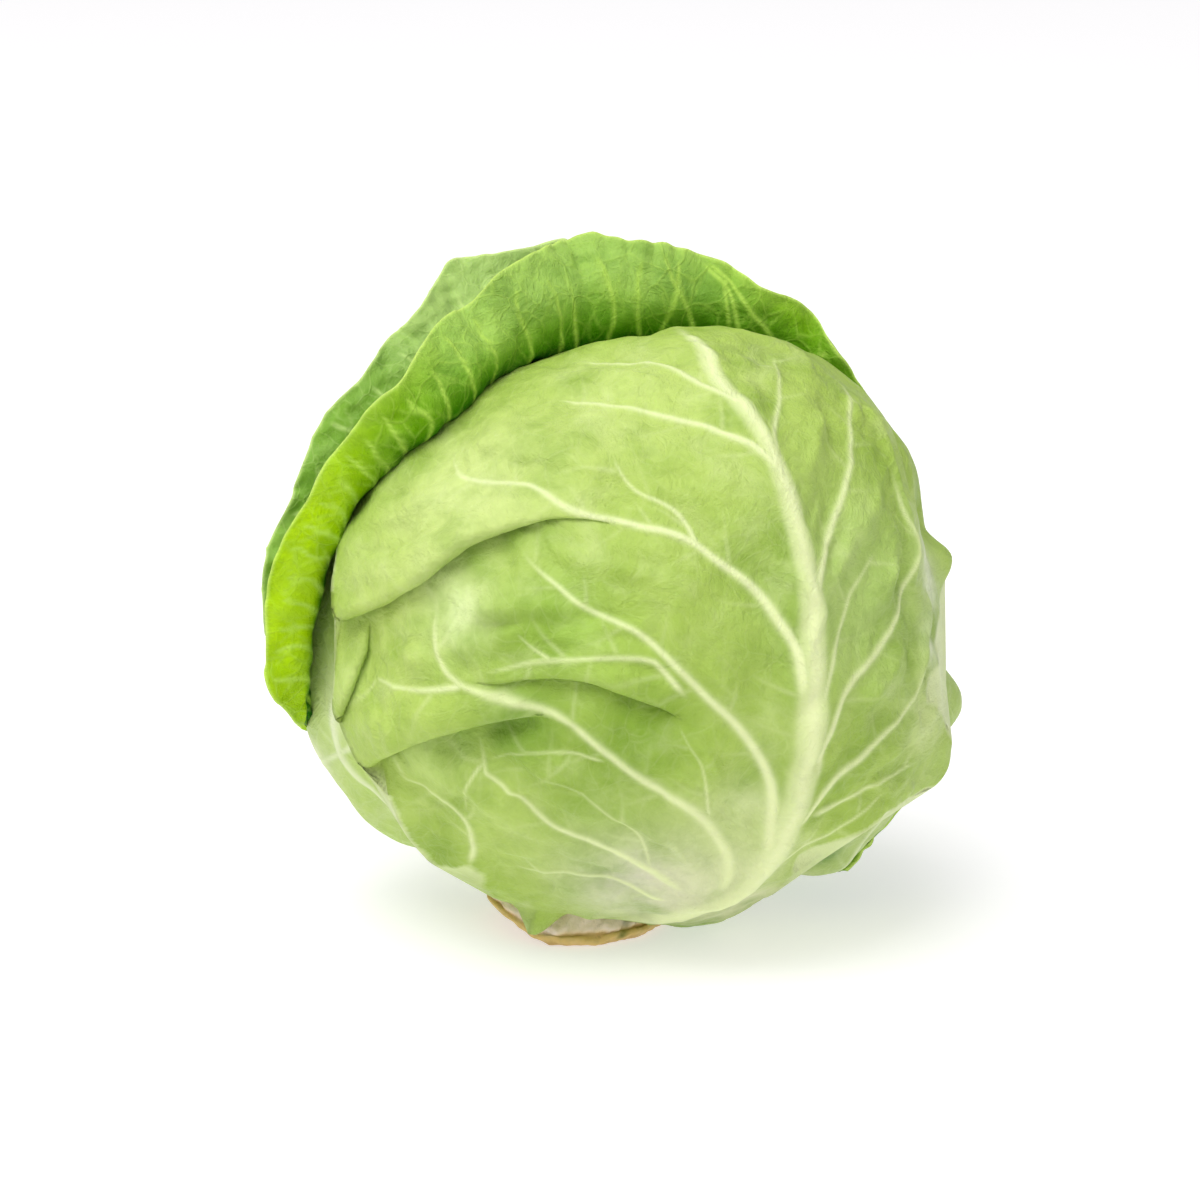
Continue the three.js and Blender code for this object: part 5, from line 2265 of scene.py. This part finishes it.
A_OUTLINE: tuple[Drawn, ...] = (
    (48, 87.9), (52, 90.9), (57, 92.6), (61, 96.8), (65, 96.7), (70, 96), (74, 98.9), (80, 100.4),
    (86, 102),
    (92, 102.8), (97, 106.7), (100, 105), (105, 103.4), (112, 101), (117, 96), (121.5, 97.5), (126.5, 94.8),
    (134, 90), (140, 92.5), (145, 91.5), (153, 93.7), (159, 93.5), (165, 96.2), (172, 98.5), (178, 98.6),
    (182, 97.8), (187, 99.6), (190, 99.2), (195, 93.3),
)
B_OUTLINE: tuple[Drawn, ...] = (
    (101, 105), (106, 105), (110, 105.5), (115, 107.5), (117, 109.6), (121, 105.3), (126, 101),
    (131, 100.9),
    (138, 98.5), (144, 100), (153.5, 98.8), (160, 97.7), (165, 99.5), (171.5, 100.4), (177, 99.2),
    (180, 98.3),
)


def inner_wrapper() -> WrapperLeaf:
    """The bright wrapper that cups the head from behind and rolls outward above it.

    Returns:
        The leaf.
    """
    rim = tuple(Station(*numbers) for numbers in (
        (-50, 101, 5, 10, 2), (-41, 105, 5, 10, 2), (-26, 108, 5, 10, 2), (-6, 112, 5, 10, 2),
        (16, 114, 5, 12, 2),
        (36, 109, 5, 40, 2), (52, 104, 5, 70, 1), (64, 104, 8, 92, 3), (76, 104, 12, 100, 3),
        (89, 103, 14, 104, 6),
        (101, 98, 13, 106, 12), (113, 86, 10, 108, 11), (125, 71, 7, 112, 14), (138, 65, 5.5, 116, 13),
        (152, 69, 5, 118, 10), (166, 72, 4.5, 118, 8.5), (180, 78, 4, 118, 8), (191, 80, 3.5, 112, 6),
        (198, 93, 3, 60, 1),
    ))
    return WrapperLeaf(
        "bright_wrapper_leaf", "bright_wrapper", (84, 128), 18.5, (120, 172), 2, rim,
        lambda run, turn: 2.4 + 0.3 * midrib_swell(run, turn) + edge_wave(run, turn), (2, 11, 0.6),
        back_veins(-50, 198, 103) + roll_veins(A_ROLL), inner_wrapper_paint, A_OUTLINE, columns=400,
        seed=31,
    )


def outer_wrapper() -> WrapperLeaf:
    """The bloomed wrapper outside the bright one, with a pointed tip at the upper left.

    Returns:
        The leaf.
    """
    rim = tuple(Station(*numbers) for numbers in (
        (76, 134, 10, 40, 4), (86, 126, 12, 60, 10), (98, 120, 14, 78, 13), (109, 114, 15, 86, 14),
        (118, 109, 14, 92, 17), (128, 102, 12, 94, 8), (139, 96, 9, 98, 5), (152, 92, 7, 98, 4),
        (165, 90, 5.5, 98, 4),
        (177, 91, 5, 90, 3), (190, 99, 4, 50, 1), (204, 114, 4, 20, 1),
    ))
    return WrapperLeaf(
        "bloomed_wrapper_leaf", "bloomed_wrapper", (100, 136), 20, (150, 168), 0.4, rim,
        lambda run, turn: 5 + midrib_swell(run, turn) + edge_wave(run, turn) + edge_wave(run, 1 - turn),
        (1.8, 8, 2), back_veins(76, 204, 133) + roll_veins(B_ROLL), outer_wrapper_paint, B_OUTLINE,
        columns=340, seed=41,
    )


# ---- the stage


@dataclass
class Studio:
    """Plain pale floor, soft light and the camera."""

    floor_size: float = 14.0
    distance: float = 1.2
    lens: float = 135.5

    def build(self) -> bpy.types.Object:
        """Sets up the floor, the light and the camera.

        Returns:
            The floor.
        """
        scene = bpy.context.scene
        scene.view_settings.view_transform = "Standard"
        self.world(scene)
        self.camera(scene)
        self.lamp("key", (-0.5, -0.6, 1.8), 1.7, 32.0)
        self.sun((-0.5, -0.5, 1.6), 0.5)
        self.lamp("fill", (1.2, -1.4, 0.6), 1.4, 3.2)
        return self.floor()

    def floor(self) -> bpy.types.Object:
        """Makes the pale floor.

        Returns:
            The floor.
        """
        half = self.floor_size / 2
        mesh = bpy.data.meshes.new("floor")
        mesh.from_pydata(
            [(-half, -half, 0), (half, -half, 0), (half, half, 0), (-half, half, 0)], [], [(0, 1, 2, 3)]
        )
        floor = bpy.data.objects.new("floor", mesh)
        bpy.context.scene.collection.objects.link(floor)
        n = Nodes("floor_finish")
        white = n.add("ShaderNodeBsdfPrincipled", {
            "Base Color": (0.64, 0.625, 0.64, 1), "Roughness": 0.9, "Specular IOR Level": 0.1,
            "Emission Color": (1, 1, 1, 1), "Emission Strength": 0.52,
        })
        n.add("ShaderNodeOutputMaterial", {"Surface": white.outputs[0]})
        mesh.materials.append(n.material)
        return floor

    @staticmethod
    def world(scene: bpy.types.Scene) -> None:
        """Lights the scene evenly from all round.

        Args:
            scene: The scene.
        """
        world = bpy.data.worlds.new("studio")
        world.use_nodes = True
        world.node_tree.nodes["Background"].inputs["Color"].default_value = (1, 1, 1, 1)
        world.node_tree.nodes["Background"].inputs["Strength"].default_value = 0.42
        scene.world = world

    def camera(self, scene: bpy.types.Scene) -> None:
        """Looks down at the head from the front, with a long lens.

        Args:
            scene: The scene.
        """
        aim = (HEAD.middle + HEAD.across * HEAD.view_aim[0] + HEAD.rise * HEAD.view_aim[1]) * MM
        data = bpy.data.cameras.new("camera")
        data.lens = self.lens
        data.sensor_width = 36
        data.clip_end = 50
        camera = bpy.data.objects.new("camera", data)
        turn = Matrix((HEAD.across, HEAD.rise, HEAD.near)).transposed().to_4x4()
        camera.matrix_world = Matrix.Translation(aim + HEAD.near * self.distance) @ turn
        scene.collection.objects.link(camera)
        scene.camera = camera

    @staticmethod
    def sun(place: tuple[float, float, float], power: float) -> None:
        """Adds a very wide soft light that falls evenly on the whole floor.

        Args:
            place: Where the light comes from.
            power: Its strength.
        """
        data = bpy.data.lights.new("sky", "SUN")
        data.angle = math.radians(80)
        data.energy = power
        sky = bpy.data.objects.new("sky", data)
        sky.rotation_euler = Vector(place).to_track_quat("Z", "Y").to_euler()
        bpy.context.scene.collection.objects.link(sky)

    @staticmethod
    def lamp(name: str, place: tuple[float, float, float], size: float, power: float) -> None:
        """Adds a soft square lamp that faces the head.

        Args:
            name: Its name.
            place: Where it hangs, in metres.
            size: Its side, in metres.
            power: Its power, in watts.
        """
        data = bpy.data.lights.new(name, "AREA")
        data.shape = "SQUARE"
        data.size = size
        data.energy = power
        lamp = bpy.data.objects.new(name, data)
        lamp.location = place
        lamp.rotation_euler = (Vector(HEAD.middle * MM) - Vector(place)).to_track_quat("-Z", "Y").to_euler()
        bpy.context.scene.collection.objects.link(lamp)


# ---- all together


def dress(piece: bpy.types.Object, node: str, finish: LeafFinish | StemFinish) -> None:
    """Gives a piece its finish and its place in the frame.

    Args:
        piece: The piece.
        node: The plain node that it stands for.
        finish: The finish.
    """
    piece.data.materials.append(finish.material())
    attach(piece, BODY)
    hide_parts(node)
    LOG.info("%s: %d triangles, stands for %s", piece.name, len(piece.data.polygons), node)


def main() -> None:
    """Builds the head piece by piece."""
    logging.basicConfig(level=logging.INFO, format="%(message)s")
    for thing in list(bpy.data.objects):
        bpy.data.objects.remove(thing)
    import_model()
    Studio().build()
    for maker, node, finish in (
        (CutStem(), "stem", STEM_FINISH),
        (PackedHeart(), "heart", HEART_FINISH),
        (left_leaf(), "left_leaf", SIDE_LEAF_FINISH),
        (right_leaf(), "right_leaf", SIDE_LEAF_FINISH),
        (front_leaf(), "front_leaf", HEAD_LEAF_FINISH),
        (inner_wrapper(), "inner_wrapper_leaf", INNER_WRAPPER_FINISH),
        (outer_wrapper(), "outer_wrapper_leaf", OUTER_WRAPPER_FINISH),
    ):
        dress(maker.build(), node, finish)
    bpy.context.view_layer.update()


if __name__ == "__main__":
    main()
